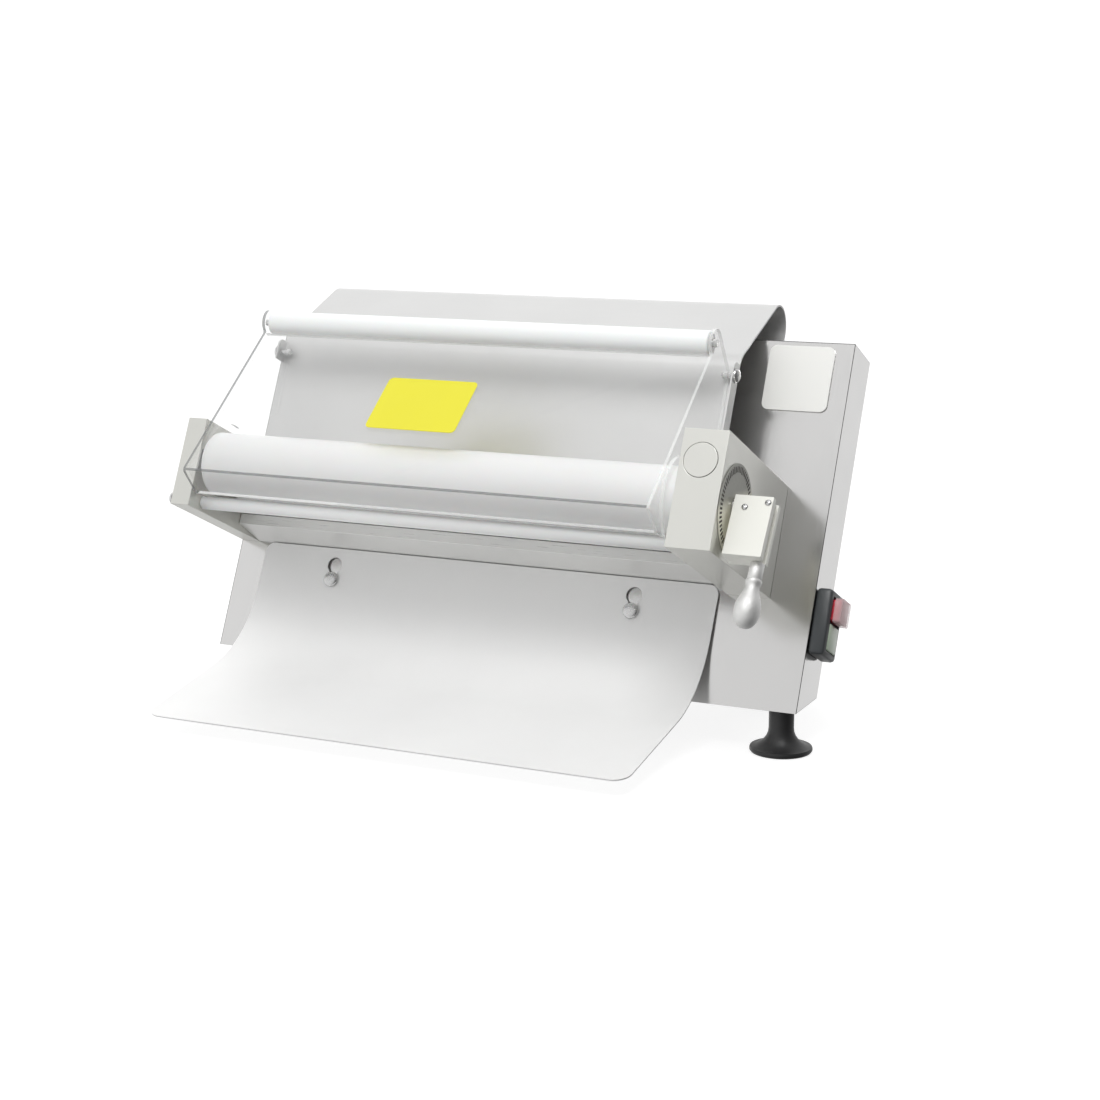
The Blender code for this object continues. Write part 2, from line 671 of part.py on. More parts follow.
def rollers():
    """Rear roller, fixed and driven; front roller, which slides to set the gap."""
    roller("rear", REAR_ROLLER, REAR_SHAFT_RIGHT, 0.0)
    roller("front", FRONT_ROLLER, FRONT_SHAFT_RIGHT, math.pi / GEAR_TEETH)


def bearings():
    """Plain bushes for the rear shaft and sliding blocks for the front shaft."""
    bore = ROLLER_SHAFT_RADIUS + FIT
    spans = {"left": (LEFT_ARM[1] - BEARING_BACK, LEFT_ARM[1] + BEARING_PROUD),
             "right": (RIGHT_ARM[0] - BEARING_PROUD, RIGHT_ARM[0] + BEARING_BACK)}
    for side, span in spans.items():
        name = "rear_bush_" + side
        place(piece(name, rod_mesh(name, BUSH_RADIUS, span, 32, bore), "machined_steel", 50),
              PANEL, 0.0, *REAR_ROLLER)
        name = "front_bearing_block_" + side
        square = [(-BLOCK_HALF, -BLOCK_HALF), (BLOCK_HALF, -BLOCK_HALF),
                  (BLOCK_HALF, BLOCK_HALF), (-BLOCK_HALF, BLOCK_HALF)]
        block = plate_mesh(name, square, span, [circle(bore, segments=24)])
        place(piece(name, block, "machined_steel"), PANEL, 0.0, *FRONT_ROLLER)


MOTOR_SHAFT_RADIUS = 0.006
MOTOR_SHAFT_X = (0.1985, 0.2240)
MOTOR_CAN_RADIUS = 0.042
MOTOR_CAN_X = (0.010, 0.150)
GEARBOX_X = (0.140, 0.198)
GEARBOX_HALF = 0.036               # forward, back and up from the motor's axis
GEARBOX_BELOW = 0.040
BRACKET_X = (0.1505, 0.1950)
BRACKET_Y = (0.096, 0.160)
CAPACITOR_RADIUS = 0.018
CAPACITOR_X = (-0.120, -0.050)
CAPACITOR_AT = (0.150, 0.021)      # y, z
TERMINALS_X = (-0.190, -0.150)
TERMINALS_Y = (0.095, 0.120)
TERMINALS_TOP = 0.020
SPROCKET_TEETH = 16
SPROCKET_TOOTH = 0.0030
SPROCKET_TOOTH_SHARE = 0.60
CHAIN_CLEARANCE = 0.0010           # from the sprocket's tips to the chain
CHAIN_THICKNESS = 0.0035


def sprocket(name, frame_uv, bore):
    """A small chain wheel."""
    teeth = gear_outline(SPROCKET_TEETH, SPROCKET_RADIUS - SPROCKET_TOOTH, SPROCKET_RADIUS,
                         SPROCKET_TOOTH_SHARE, 0.0)
    wheel = plate_mesh(name, teeth, CHAIN_X, [circle(bore, segments=24)])
    place(piece(name, wheel, "machined_steel"), PANEL, 0.0, *frame_uv)


def drive():
    """Gearmotor, its bracket and shaft, the two chain wheels and the chain loop."""
    motor_uv = sloped(*MOTOR_SHAFT)
    sprocket("roller_sprocket", REAR_ROLLER, ROLLER_SHAFT_RADIUS + FIT)
    sprocket("motor_sprocket", motor_uv, MOTOR_SHAFT_RADIUS + FIT)
    inside = SPROCKET_RADIUS + CHAIN_CLEARANCE
    outer = belt_outline(motor_uv, REAR_ROLLER, inside + CHAIN_THICKNESS)
    inner = belt_outline(motor_uv, REAR_ROLLER, inside)
    chain = plate_mesh("drive_chain", outer, CHAIN_X, [inner])
    place(piece("drive_chain", chain, "machined_steel"), PANEL)
    shaft = rod_mesh("motor_shaft", MOTOR_SHAFT_RADIUS, MOTOR_SHAFT_X, 24)
    place(piece("motor_shaft", shaft, "machined_steel", 50), PANEL, 0.0, *motor_uv)
    gearmotor()


def backwards(y_range):
    """A level y range as a range of the forward axis."""
    return -y_range[1], -y_range[0]


def gearmotor():
    """Motor can and gearbox in one housing, the bracket under it, its run capacitor and terminals."""
    can = rod_mesh("gearmotor", MOTOR_CAN_RADIUS, MOTOR_CAN_X, 40)
    motor = place(piece("gearmotor", can, "motor_enamel", 40), BASE, 0.0, -MOTOR_AXIS[0], MOTOR_AXIS[1])
    gearbox = box_mesh("gearbox", (GEARBOX_X, (-GEARBOX_HALF, GEARBOX_HALF), (-GEARBOX_BELOW, GEARBOX_HALF)))
    boolean(motor, place(cutter("gearbox", gearbox), BASE, 0.0, -MOTOR_AXIS[0], MOTOR_AXIS[1]), "UNION")
    floor = BASE_PLATE + FIT
    stand_v = (floor, MOTOR_AXIS[1] - GEARBOX_BELOW - FIT)
    stand = box_mesh("motor_bracket", (BRACKET_X, backwards(BRACKET_Y), stand_v))
    place(piece("motor_bracket", stand, "machined_steel"), BASE)
    capacitor = rod_mesh("run_capacitor", CAPACITOR_RADIUS, CAPACITOR_X, 24)
    place(piece("run_capacitor", capacitor, "white_plastic", 40), BASE, 0.0, -CAPACITOR_AT[0], CAPACITOR_AT[1])
    terminals = box_mesh("terminal_block", (TERMINALS_X, backwards(TERMINALS_Y), (floor, TERMINALS_TOP)))
    place(piece("terminal_block", terminals, "white_plastic"), BASE)


# Gap adjuster ----------------------------------------------------------------------------------
SPINDLE_RADIUS = 0.006
SPINDLE_LEFT = 0.2265
CAM_X = (0.2275, 0.2335)
CAM_RADIUS = 0.014
CAM_OFFSET = -0.004
SCREW_RADIUS = 0.0026
SCREW_PROUD = 0.0013
BLOCK_SCREWS = {"block_screw_inner": (0.256, -0.0032), "block_screw_outer": (0.2742, 0.002)}
STEM_FOOT = -0.0580


def gap_adjuster():
    """Spindle and cam inside the right arm, the scale disc, and the lever on its hub."""
    spindle = rod_mesh("gap_spindle", SPINDLE_RADIUS, (SPINDLE_LEFT, HUB_X[1]), 24)
    place(piece("gap_spindle", spindle, "machined_steel", 50), LEVER)
    bore = circle(SPINDLE_RADIUS + FIT, segments=24)
    cam = plate_mesh("gap_cam", circle(CAM_RADIUS, (CAM_OFFSET, 0.0), 32), CAM_X, [bore])
    place(piece("gap_cam", cam, "machined_steel", 50), LEVER)
    scale = (RIGHT_ARM[1] + FIT, RIGHT_ARM[1] + FIT + DIAL_PLATE)
    disc = rod_mesh("gap_dial", DIAL_RADIUS, scale, 64, SPINDLE_RADIUS + FIT)
    place(piece("gap_dial", disc, "machined_steel", 50), PANEL, 0.0, *DIAL_AXIS)
    hub = rod_mesh("lever_hub", HUB_RADIUS, HUB_X, 32, SPINDLE_RADIUS + FIT)
    place(piece("lever_hub", hub, "machined_steel", 50), LEVER)
    lever_block()
    lever()


def lever_block():
    """The square block on the spindle, with two screws in its front face."""
    mesh = box_mesh("lever_block", (BLOCK_X, BLOCK_DEPTH, BLOCK_RISE))
    block = place(piece("lever_block", mesh, "cream_enamel"), LEVER)
    bevel(block, 0.0008, 2)
    face = BLOCK_DEPTH[1]
    for name, centre in BLOCK_SCREWS.items():
        head = circle(SCREW_RADIUS, centre, 16)
        mesh = face_plate_mesh(name, head, (face + FIT, face + SCREW_PROUD))
        place(piece(name, mesh, "machined_steel"), LEVER)


def lever():
    """Steel stem and a pear-shaped cast handle that hang from the block."""
    top = BLOCK_RISE[0] - FIT
    stem = [(0.0, top), (STEM_RADIUS, top), (STEM_RADIUS, STEM_FOOT), (0.0, STEM_FOOT)]
    place(piece("lever_stem", turned_mesh("lever_stem", stem, 24), "machined_steel", 50),
          LEVER, STEM_X, STEM_FORWARD)
    neck = STEM_FOOT - FIT
    pear = [(0.0, neck), (0.0066, neck), (0.0066, -0.0610), (0.0058, -0.0630),
            (0.0060, -0.0660), (0.0078, -0.0705), (0.0096, -0.0755), (0.0105, -0.0810),
            (0.0103, -0.0870), (0.0090, -0.0925), (0.0062, -0.0962), (0.0025, -0.0979),
            (0.0, -0.0982)]
    place(piece("lever_handle", turned_mesh("lever_handle", pear, 32), "cast_aluminium", 60),
          LEVER, STEM_X, STEM_FORWARD)


# Feed chute, cross member, lower rod -----------------------------------------------------------
def chute_profile():
    """Front face of the chute from its lower edge up over the ramp and down the curl behind."""
    points = [(CHUTE_U, CHUTE_LOW_V)]
    setback = CHUTE_BEND_RADIUS * math.tan(RAMP_TURN / 2)
    centre = (CHUTE_U - CHUTE_BEND_RADIUS, CHUTE_BEND_V - setback)
    points += arc(centre, CHUTE_BEND_RADIUS, 0.0, RAMP_TURN, 5)
    run = RAMP_LENGTH - setback
    end = (points[-1][0] - run * math.sin(RAMP_TURN), points[-1][1] + run * math.cos(RAMP_TURN))
    centre = (end[0] - CURL_RADIUS * math.cos(RAMP_TURN), end[1] - CURL_RADIUS * math.sin(RAMP_TURN))
    points += arc(centre, CURL_RADIUS, RAMP_TURN, math.pi, 12)
    points.append((points[-1][0], points[-1][1] - CURL_TAIL))
    return points


def feed_chute():
    """The sheet that dough slides down, hooked over the housing, with a flange at each side."""
    rows = [(*CHUTE_X, u, v) for u, v in chute_profile()]
    chute = place(piece("feed_chute", ribbon_mesh("feed_chute", rows), "satin_sheet"), PANEL)
    solidify(chute, SHEET, AHEAD)
    root = CHUTE_U - SHEET / 2
    corner = (FLANGE_REACH - FLANGE_CORNER, FLANGE_V[1] - FLANGE_CORNER)
    outline = [(root, FLANGE_V[0]), (FLANGE_REACH, FLANGE_V[0]),
               *arc(corner, FLANGE_CORNER, 0.0, math.pi / 2, 4), (root, FLANGE_V[1])]
    hole = circle(PIVOT_SHANK_RADIUS + FIT, GUARD_PIVOT, 20)
    for side, x in (("left", (CHUTE_X[0], CHUTE_X[0] + SHEET)), ("right", (CHUTE_X[1] - SHEET, CHUTE_X[1]))):
        name = "chute_flange_" + side
        flange = cutter(name, plate_mesh(name, outline, x, [hole]))
        boolean(chute, place(flange, PANEL), "UNION")
    standoffs()


def standoffs():
    """Two round posts that hold the chute off the panel."""
    length = CHUTE_U - SHEET - FIT
    profile = [(0.0, length), (STANDOFF_RADIUS, length), (STANDOFF_RADIUS, FIT), (0.0, FIT)]
    for name, x in zip(("chute_standoff_left", "chute_standoff_right"), STANDOFF_X):
        post = piece(name, turned_mesh(name, profile, 24), "machined_steel", 50)
        place(post, PANEL, x, 0.0, STANDOFF_V)
        post.rotation_euler = (math.pi / 2, 0.0, 0.0)


CROSS_PROFILE = [(FIT, 0.1120), (FIT, 0.1006), (0.0360, 0.1070), (0.0420, 0.1140)]


def cross_member():
    """Folded channel between the arms, under the rear roller."""
    rows = [(LEFT_ARM[1] + FIT, RIGHT_ARM[0] - FIT, u, v) for u, v in CROSS_PROFILE]
    beam = place(piece("cross_member", ribbon_mesh("cross_member", rows), "brushed_steel"), PANEL)
    solidify(beam, SHEET, AHEAD)


def lower_rod():
    """Round bar between the arms, under the front roller."""
    span = (LEFT_ARM[1] + FIT, RIGHT_ARM[0] - FIT)
    rod = rod_mesh("lower_rod", LOWER_ROD_RADIUS, span, 32)
    place(piece("lower_rod", rod, "machined_steel", 50), PANEL, 0.0, *LOWER_ROD)


# Guard -----------------------------------------------------------------------------------------
GUARD_BEND = 0.004
NOTCH_RADIUS = 0.036               # recess round the front roller
NOTCH_START = math.radians(-55.0)
NOTCH_END = math.radians(100.0)
HOOK_POINT = (0.125, 0.109)        # where the wall's lower edge meets the recess
REAR_LOW_V = 0.212
EAR_END = math.radians(-58.0)
AXLE_RADIUS = 0.0030
GUIDE_PLAY = 0.0015                # at each end of the guide roller


def guard_directions():
    """Unit (u, v) directions: down the front sheet, and square to it towards the back."""
    down = Vector((GUARD_CORNER[0] - GUARD_TOP[0], GUARD_CORNER[1] - GUARD_TOP[1])).normalized()
    return down, Vector((down.y, -down.x))


def guard_side_outline():
    """Side wall of the guard: a round ear, a round corner at the pivot, a recess for the roller."""
    down, back = guard_directions()
    inset = GUARD_WALL / 2
    top = Vector(GUARD_TOP) + inset * back
    corner = Vector(GUARD_CORNER) + inset * back - inset * down
    hook = Vector(GUARD_CORNER) + GUARD_LIP * back - inset * down
    points = [tuple(top), tuple(corner), tuple(hook), HOOK_POINT]
    points += arc(FRONT_ROLLER, NOTCH_RADIUS, NOTCH_START, NOTCH_END, 12)
    points.append((GUARD_PIVOT[0] - PIVOT_CORNER_RADIUS, REAR_LOW_V))
    across = Vector(GUARD_ROLLER) - Vector(GUARD_PIVOT)
    tangent = math.atan2(across.y, across.x) + math.acos((PIVOT_CORNER_RADIUS - EAR_RADIUS) / across.length)
    points += arc(GUARD_PIVOT, PIVOT_CORNER_RADIUS, math.pi, tangent, 3)
    points += arc(GUARD_ROLLER, EAR_RADIUS, tangent, EAR_END, 9)
    return points


def guard():
    """Clear front sheet with its bent lip, and two side walls joined to it."""
    down, back = guard_directions()
    corner = Vector(GUARD_CORNER)
    inner = corner + GUARD_BEND * (back - down)
    start = math.atan2(-back.y, -back.x)
    fold = arc(inner, GUARD_BEND, start, start - math.pi / 2, 4)
    profile = [GUARD_TOP, *fold, tuple(corner + GUARD_LIP * back)]
    rows = [(GUARD_X[0] + FIT, GUARD_X[1] - FIT, u, v) for u, v in moved(profile, GUARD_PIVOT)]
    body = place(piece("guard", ribbon_mesh("guard", rows), "clear_plastic"), PANEL, 0.0, *GUARD_PIVOT)
    solidify(body, GUARD_WALL, BEHIND)
    outline = moved(guard_side_outline(), GUARD_PIVOT)
    holes = [circle(PIVOT_SHANK_RADIUS + FIT, segments=20),
             moved(circle(AXLE_RADIUS + FIT, GUARD_ROLLER, 20), GUARD_PIVOT)]
    for side, x in (("left", (GUARD_X[0], GUARD_X[0] + GUARD_WALL)),
                    ("right", (GUARD_X[1] - GUARD_WALL, GUARD_X[1]))):
        name = "guard_wall_" + side
        wall = cutter(name, plate_mesh(name, outline, x, holes))
        boolean(body, place(wall, PANEL, 0.0, *GUARD_PIVOT), "UNION")


def guard_fittings():
    """Guide roller on top of the guard, its axle, and the two pivot bolts."""
    inside = (GUARD_X[0] + GUARD_WALL + GUIDE_PLAY, GUARD_X[1] - GUARD_WALL - GUIDE_PLAY)
    tube = rod_mesh("guard_roller", GUARD_ROLLER_RADIUS, inside, 32, AXLE_RADIUS + FIT)
    place(piece("guard_roller", tube, "white_plastic", 50), PANEL, 0.0, *GUARD_ROLLER)
    axle = rod_mesh("guard_roller_axle", AXLE_RADIUS, (GUARD_X[0] - 0.002, GUARD_X[1] + 0.0008), 20)
    place(piece("guard_roller_axle", axle, "machined_steel", 50), PANEL, 0.0, *GUARD_ROLLER)
    shank = PIVOT_SHANK_RADIUS
    head = PIVOT_HEAD_RADIUS
    for side, outer, inner in ((-1, CHUTE_X[0], GUARD_X[0]), (1, CHUTE_X[1], GUARD_X[1])):
        name = "guard_pivot_bolt_" + ("left" if side < 0 else "right")
        reach = abs(outer - inner) + GUARD_WALL + 0.002
        profile = [(0.0, 0.0042), (0.0030, 0.0039), (0.0050, 0.0028), (head, 0.0012), (head, FIT),
                   (shank, FIT), (shank, -reach), (0.0, -reach)]
        bolt = piece(name, turned_mesh(name, profile, 24), "machined_steel", 50)
        place(bolt, PANEL, outer, *GUARD_PIVOT)
        bolt.rotation_euler = (0.0, side * math.pi / 2, 0.0)


LABEL_X = (-0.0910, -0.0055)
LABEL_ALONG = (0.0470, 0.1067)     # from the front sheet's top edge
LABEL_CORNER = 0.003


def guard_label():
    """Plain yellow film on the front sheet."""
    down, _ = guard_directions()
    size = (LABEL_X[1] - LABEL_X[0], LABEL_ALONG[1] - LABEL_ALONG[0])
    outline = rounded_rectangle((0.0, 0.0), *size, LABEL_CORNER)
    label = piece("guard_label", face_plate_mesh("guard_label", outline, (FIT, 2 * FIT)), "yellow_film")
    middle = Vector(GUARD_TOP) + down * sum(LABEL_ALONG) / 2
    place(label, PANEL, sum(LABEL_X) / 2, middle.x, middle.y, math.atan2(down.x, -down.y))


# Tray ------------------------------------------------------------------------------------------
def tray():
    """Curved outfeed sheet with rounded corners, hung by two keyholes."""
    profile = tray_profile()
    lengths = [0.0]
    for first, second in zip(profile, profile[1:]):
        lengths.append(lengths[-1] + math.dist(first, second))
    total = lengths[-1]
    stops = {round(stop, 6) for stop in (*lengths, *corner_stops(0.0, TRAY_TOP_CORNER),
                                         *corner_stops(total, -TRAY_FRONT_CORNER))}
    rows = []
    for distance in sorted(stops):
        u, v = point_along(profile, lengths, distance)
        inset = max(corner_inset(distance, TRAY_TOP_CORNER),
                    corner_inset(total - distance, TRAY_FRONT_CORNER))
        rows.append((TRAY_X[0] + inset, TRAY_X[1] - inset, u, v))
    sheet = place(piece("tray", ribbon_mesh("tray", rows), "satin_sheet"), PANEL)
    solidify(sheet, TRAY_SHEET, BEHIND)
    for index, x in enumerate(TRAY_PIN_X):
        name = f"keyhole_{index}"
        key = face_plate_mesh(name, keyhole_outline(x), (-THROUGH_WALL, TRAY_BEND_START[0] + THROUGH_WALL))
        boolean(sheet, place(cutter(name, key), PANEL))


CORNER_STEPS = 5


def corner_stops(start, radius):
    """Distances at which a rounded corner needs a row."""
    return [start + radius * (1 - math.cos(math.pi / 2 * step / CORNER_STEPS))
            for step in range(CORNER_STEPS + 1)]


def corner_inset(distance, radius):
    """How far the side edge is set in near a rounded end."""
    if distance >= radius:
        return 0.0
    return radius - math.sqrt(max(radius ** 2 - (radius - distance) ** 2, 0.0))


def point_along(profile, lengths, distance):
    """The profile's point at a distance from its start."""
    for index in range(1, len(profile)):
        if distance <= lengths[index] + 1e-9:
            share = (distance - lengths[index - 1]) / (lengths[index] - lengths[index - 1])
            (a, b), (c, d) = profile[index - 1], profile[index]
            return a + (c - a) * share, b + (d - b) * share
    return profile[-1]


PIN_SHANK_RADIUS = 0.0035
PIN_HEAD = 0.0032
PIN_CHAMFER = 0.0010
SLOT_RADIUS = 0.0043
HOLE_RADIUS = 0.0073


def keyhole_outline(x):
    """Round hole for the pin's head above a narrow slot for its shank."""
    top = (x, TRAY_PIN_V + KEYHOLE_PITCH)
    half_open = math.asin(SLOT_RADIUS / HOLE_RADIUS)
    points = arc(top, HOLE_RADIUS, half_open - math.pi / 2, 1.5 * math.pi - half_open, 20)
    points += arc((x, TRAY_PIN_V), SLOT_RADIUS, math.pi, 2 * math.pi, 10)
    return points


def tray_pins():
    """Two round-headed pins on the panel that hold the tray."""
    under = TRAY_BEND_START[0] + FIT
    head = under + PIN_HEAD
    profile = [(0.0, head), (PIN_HEAD_RADIUS - PIN_CHAMFER, head), (PIN_HEAD_RADIUS, head - PIN_CHAMFER),
               (PIN_HEAD_RADIUS, under), (PIN_SHANK_RADIUS, under), (PIN_SHANK_RADIUS, FIT), (0.0, FIT)]
    for name, x in zip(("tray_pin_left", "tray_pin_right"), TRAY_PIN_X):
        pin = piece(name, turned_mesh(name, profile, 32), "machined_steel", 40)
        place(pin, PANEL, x, 0.0, TRAY_PIN_V)
        pin.rotation_euler = (math.pi / 2, 0.0, 0.0)


# Switch and badge ------------------------------------------------------------------------------
STOP_WELL = (0.0260, 0.0220)       # size along u and v
STOP_SIZE = (0.0214, 0.0174)
CAP_SIZE = (0.0246, 0.0206)
START_SIZE = (0.0234, 0.0220)
BUTTON_BACK_X = 0.2870
STOP_FRONT_X = 0.2990
START_FRONT_X = 0.2950
CAP_BACK_X = 0.2955
CAP_WALL = 0.0012
WELL_DEPTH = 0.0045                # behind a button at rest
START_PLAY = 0.0006
CAP_PLAY = 0.0004
BOX_EDGE = 0.003
BUTTON_EDGE = 0.0008
CAP_CORNER = 0.002


def around(centre, size, extra=0.0):
    """The range that is centred on a value."""
    return centre - size / 2 - extra, centre + size / 2 + extra


def switch():
    """Dark box on the housing's side, with a stop button under a clear cap and a start button."""
    body = box_mesh("switch_box", (SWITCH_X, SWITCH_U, SWITCH_V))
    box = place(piece("switch_box", body, "dark_plastic"), PANEL)
    bevel(box, BOX_EDGE, 2)
    well_x = (BUTTON_BACK_X - WELL_DEPTH, CAP_FRONT_X)
    wells = box_mesh("button_wells",
                     (well_x, around(BUTTON_U, STOP_WELL[0]), around(STOP_V, STOP_WELL[1])),
                     (well_x, around(BUTTON_U, START_SIZE[0], START_PLAY),
                      around(START_V, START_SIZE[1], START_PLAY)))
    boolean(box, place(cutter("button_wells", wells), PANEL))
    button("stop_button", STOP_SIZE, STOP_V, STOP_FRONT_X, "red_plastic")
    button("start_button", START_SIZE, START_V, START_FRONT_X, "green_plastic")
    outline = rounded_rectangle((BUTTON_U, STOP_V), *CAP_SIZE, CAP_CORNER, 3)
    shell = plate_mesh("stop_button_cap", outline, (CAP_BACK_X, CAP_FRONT_X))
    cap = place(piece("stop_button_cap", shell, "clear_plastic"), PANEL)
    hollow = box_mesh("cap_hollow", ((BUTTON_BACK_X, CAP_FRONT_X - CAP_WALL),
                                     around(BUTTON_U, STOP_SIZE[0], CAP_PLAY),
                                     around(STOP_V, STOP_SIZE[1], CAP_PLAY)))
    boolean(cap, place(cutter("cap_hollow", hollow), PANEL))


def button(name, size, centre_v, front_x, finish_name):
    """A rectangular push button."""
    mesh = box_mesh(name, ((BUTTON_BACK_X, front_x), around(BUTTON_U, size[0]), around(centre_v, size[1])))
    bevel(place(piece(name, mesh, finish_name), PANEL), BUTTON_EDGE, 2)


BADGE_AT = (0.2350, 0.2865)        # x, v
BADGE_SIZE = 0.0580
BADGE_CORNER = 0.006
BADGE_FACE = 0.0015


def badge():
    """Blank square badge near the panel's top right corner."""
    outline = rounded_rectangle(BADGE_AT, BADGE_SIZE, BADGE_SIZE, BADGE_CORNER, 5)
    place(piece("badge", face_plate_mesh("badge", outline, (FIT, BADGE_FACE)), "badge_plastic"), PANEL)


def main():
    """Build every piece."""
    housing_shell()
    rear_plate()
    motor_casing()
    base_plate()
    feet()
    cable_gland()
    left_arm()
    right_arm()
    rollers()
    bearings()
    drive()
    gap_adjuster()
    feed_chute()
    cross_member()
    lower_rod()
    guard()
    guard_fittings()
    guard_label()
    tray()
    tray_pins()
    switch()
    badge()


main()
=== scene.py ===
"""Looks of the dough sheeter: finer shapes, materials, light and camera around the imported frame.

Metres, +Z up. Places are given in the leaning panel's own axes, as in the CAD model: x from the
housing's middle to the right, u forward from the panel's face, v up along it from its lower edge.
"""
import json
import math

import bmesh
import bpy
from mathutils import Matrix, Vector

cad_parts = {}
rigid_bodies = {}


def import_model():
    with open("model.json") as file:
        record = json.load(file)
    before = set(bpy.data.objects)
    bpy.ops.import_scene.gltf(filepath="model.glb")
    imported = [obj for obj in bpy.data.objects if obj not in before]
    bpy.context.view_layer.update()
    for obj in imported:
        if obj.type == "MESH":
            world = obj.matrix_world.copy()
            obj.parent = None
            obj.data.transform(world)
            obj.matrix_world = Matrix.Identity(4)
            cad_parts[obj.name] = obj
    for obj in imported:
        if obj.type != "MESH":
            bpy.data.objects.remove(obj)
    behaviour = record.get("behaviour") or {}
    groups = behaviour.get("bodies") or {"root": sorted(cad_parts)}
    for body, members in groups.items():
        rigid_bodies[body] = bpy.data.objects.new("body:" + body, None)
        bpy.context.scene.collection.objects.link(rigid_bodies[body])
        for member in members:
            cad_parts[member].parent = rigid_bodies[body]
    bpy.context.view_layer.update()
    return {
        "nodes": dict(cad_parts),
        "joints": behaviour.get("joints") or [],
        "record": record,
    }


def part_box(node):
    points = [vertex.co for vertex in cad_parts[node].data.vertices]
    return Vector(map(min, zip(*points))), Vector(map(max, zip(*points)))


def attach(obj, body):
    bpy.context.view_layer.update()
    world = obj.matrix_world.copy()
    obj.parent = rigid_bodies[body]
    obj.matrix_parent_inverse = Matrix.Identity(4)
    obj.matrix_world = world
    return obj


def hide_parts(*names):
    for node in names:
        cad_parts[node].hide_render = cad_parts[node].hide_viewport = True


for old in list(bpy.data.objects):
    bpy.data.objects.remove(old, do_unlink=True)

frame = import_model()
NODES = frame["nodes"]

# The frame's own places -------------------------------------------------------------------------
TILT = math.radians(25.0)
FIT = 0.0003
SHELL_LOW, SHELL_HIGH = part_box("housing_shell")
ORIGIN = Vector(((SHELL_LOW.x + SHELL_HIGH.x) / 2, SHELL_LOW.y, SHELL_LOW.z))
PANEL = Matrix.Translation(ORIGIN) @ Matrix.Rotation(-TILT, 4, "X")
JOINTS = {joint["name"]: joint for joint in frame["joints"]}
BODIES = frame["record"]["behaviour"]["bodies"]
BODY_OF = {node: body for body, nodes in BODIES.items() for node in nodes}


def panel_point(point):
    """A row-frame point as (x, u, v)."""
    local = PANEL.inverted() @ Vector(point)
    return local.x, -local.y, local.z


def joint_uv(name):
    """The (u, v) of a hinge's axis."""
    return panel_point(JOINTS[name]["pos_m"])[1:]


def node_x(name):
    """The x range of a CAD node, from the housing's middle."""
    low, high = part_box(name)
    return low.x - ORIGIN.x, high.x - ORIGIN.x


FRONT_ROLLER = joint_uv("front_roller_spin")
REAR_ROLLER = joint_uv("rear_roller_spin")
GUARD_PIVOT = joint_uv("guard_hinge")
GUARD_ROLLER = joint_uv("guide_roller_spin")
DIAL_AXIS = joint_uv("gap_lever_turn")
DIAL_CENTRE = Vector((0.0, -DIAL_AXIS[0], DIAL_AXIS[1]))
LEVER_TILT = math.radians(9.7)
LEVER = PANEL @ Matrix.Translation(DIAL_CENTRE) @ Matrix.Rotation(-LEVER_TILT, 4, "X")


# Mesh builders ----------------------------------------------------------------------------------
WELD = 0.000002                    # points closer than this are one point


def mesh_from(bm, name):
    """Store a bmesh as a named mesh, facing out."""
    mesh = bpy.data.meshes.new(name)
    bmesh.ops.recalc_face_normals(bm, faces=bm.faces)
    bm.to_mesh(mesh)
    bm.free()
    return mesh


def add_block(bm, size, at):
    """Add a box of a size, with its middle moved by a matrix."""
    bmesh.ops.create_cube(bm, size=1.0, matrix=at @ Matrix.Diagonal((*size, 1.0)))


def box_mesh(name, *ranges):
    """One box for each (x range, u range, v range)."""
    bm = bmesh.new()
    for x_range, u_range, v_range in ranges:
        size = (x_range[1] - x_range[0], u_range[1] - u_range[0], v_range[1] - v_range[0])
        centre = (sum(x_range) / 2, -sum(u_range) / 2, sum(v_range) / 2)
        add_block(bm, size, Matrix.Translation(centre))
    return mesh_from(bm, name)


def turned_mesh(name, profile, segments=64):
    """A solid turned about z from (radius, z) points."""
    bm = bmesh.new()
    vertices = [bm.verts.new((radius, 0.0, z)) for radius, z in profile]
    edges = [bm.edges.new(pair) for pair in zip(vertices, vertices[1:])]
    bmesh.ops.spin(bm, geom=vertices + edges, cent=(0, 0, 0), axis=(0, 0, 1),
                   angle=2 * math.pi, steps=segments, use_merge=True)
    bmesh.ops.remove_doubles(bm, verts=bm.verts, dist=WELD)
    return mesh_from(bm, name)


OUTLINE_TO_X = Matrix(((0, 0, 1, 0), (-1, 0, 0, 0), (0, 1, 0, 0), (0, 0, 0, 1)))
LAID_ON_PANEL = Matrix.Rotation(math.pi / 2, 4, "X")


def filled_mesh(name, outlines, thickness, turn):
    """A plate from closed outlines, with its thickness about their plane."""
    curve = bpy.data.curves.new(name, "CURVE")
    curve.dimensions = "2D"
    curve.fill_mode = "BOTH"
    curve.extrude = thickness / 2
    for outline in outlines:
        spline = curve.splines.new("POLY")
        spline.points.add(len(outline) - 1)
        for point, (a, b) in zip(spline.points, outline):
            point.co = (a, b, 0.0, 1.0)
        spline.use_cyclic_u = True
    helper = bpy.data.objects.new(name, curve)
    bpy.context.scene.collection.objects.link(helper)
    bpy.context.view_layer.update()
    evaluated = helper.evaluated_get(bpy.context.evaluated_depsgraph_get())
    filled = bpy.data.meshes.new_from_object(evaluated)
    bm = bmesh.new()
    bm.from_mesh(filled)
    bmesh.ops.remove_doubles(bm, verts=bm.verts, dist=WELD)
    bmesh.ops.transform(bm, matrix=turn, verts=bm.verts)
    bpy.data.objects.remove(helper, do_unlink=True)
    bpy.data.meshes.remove(filled)
    return mesh_from(bm, name)


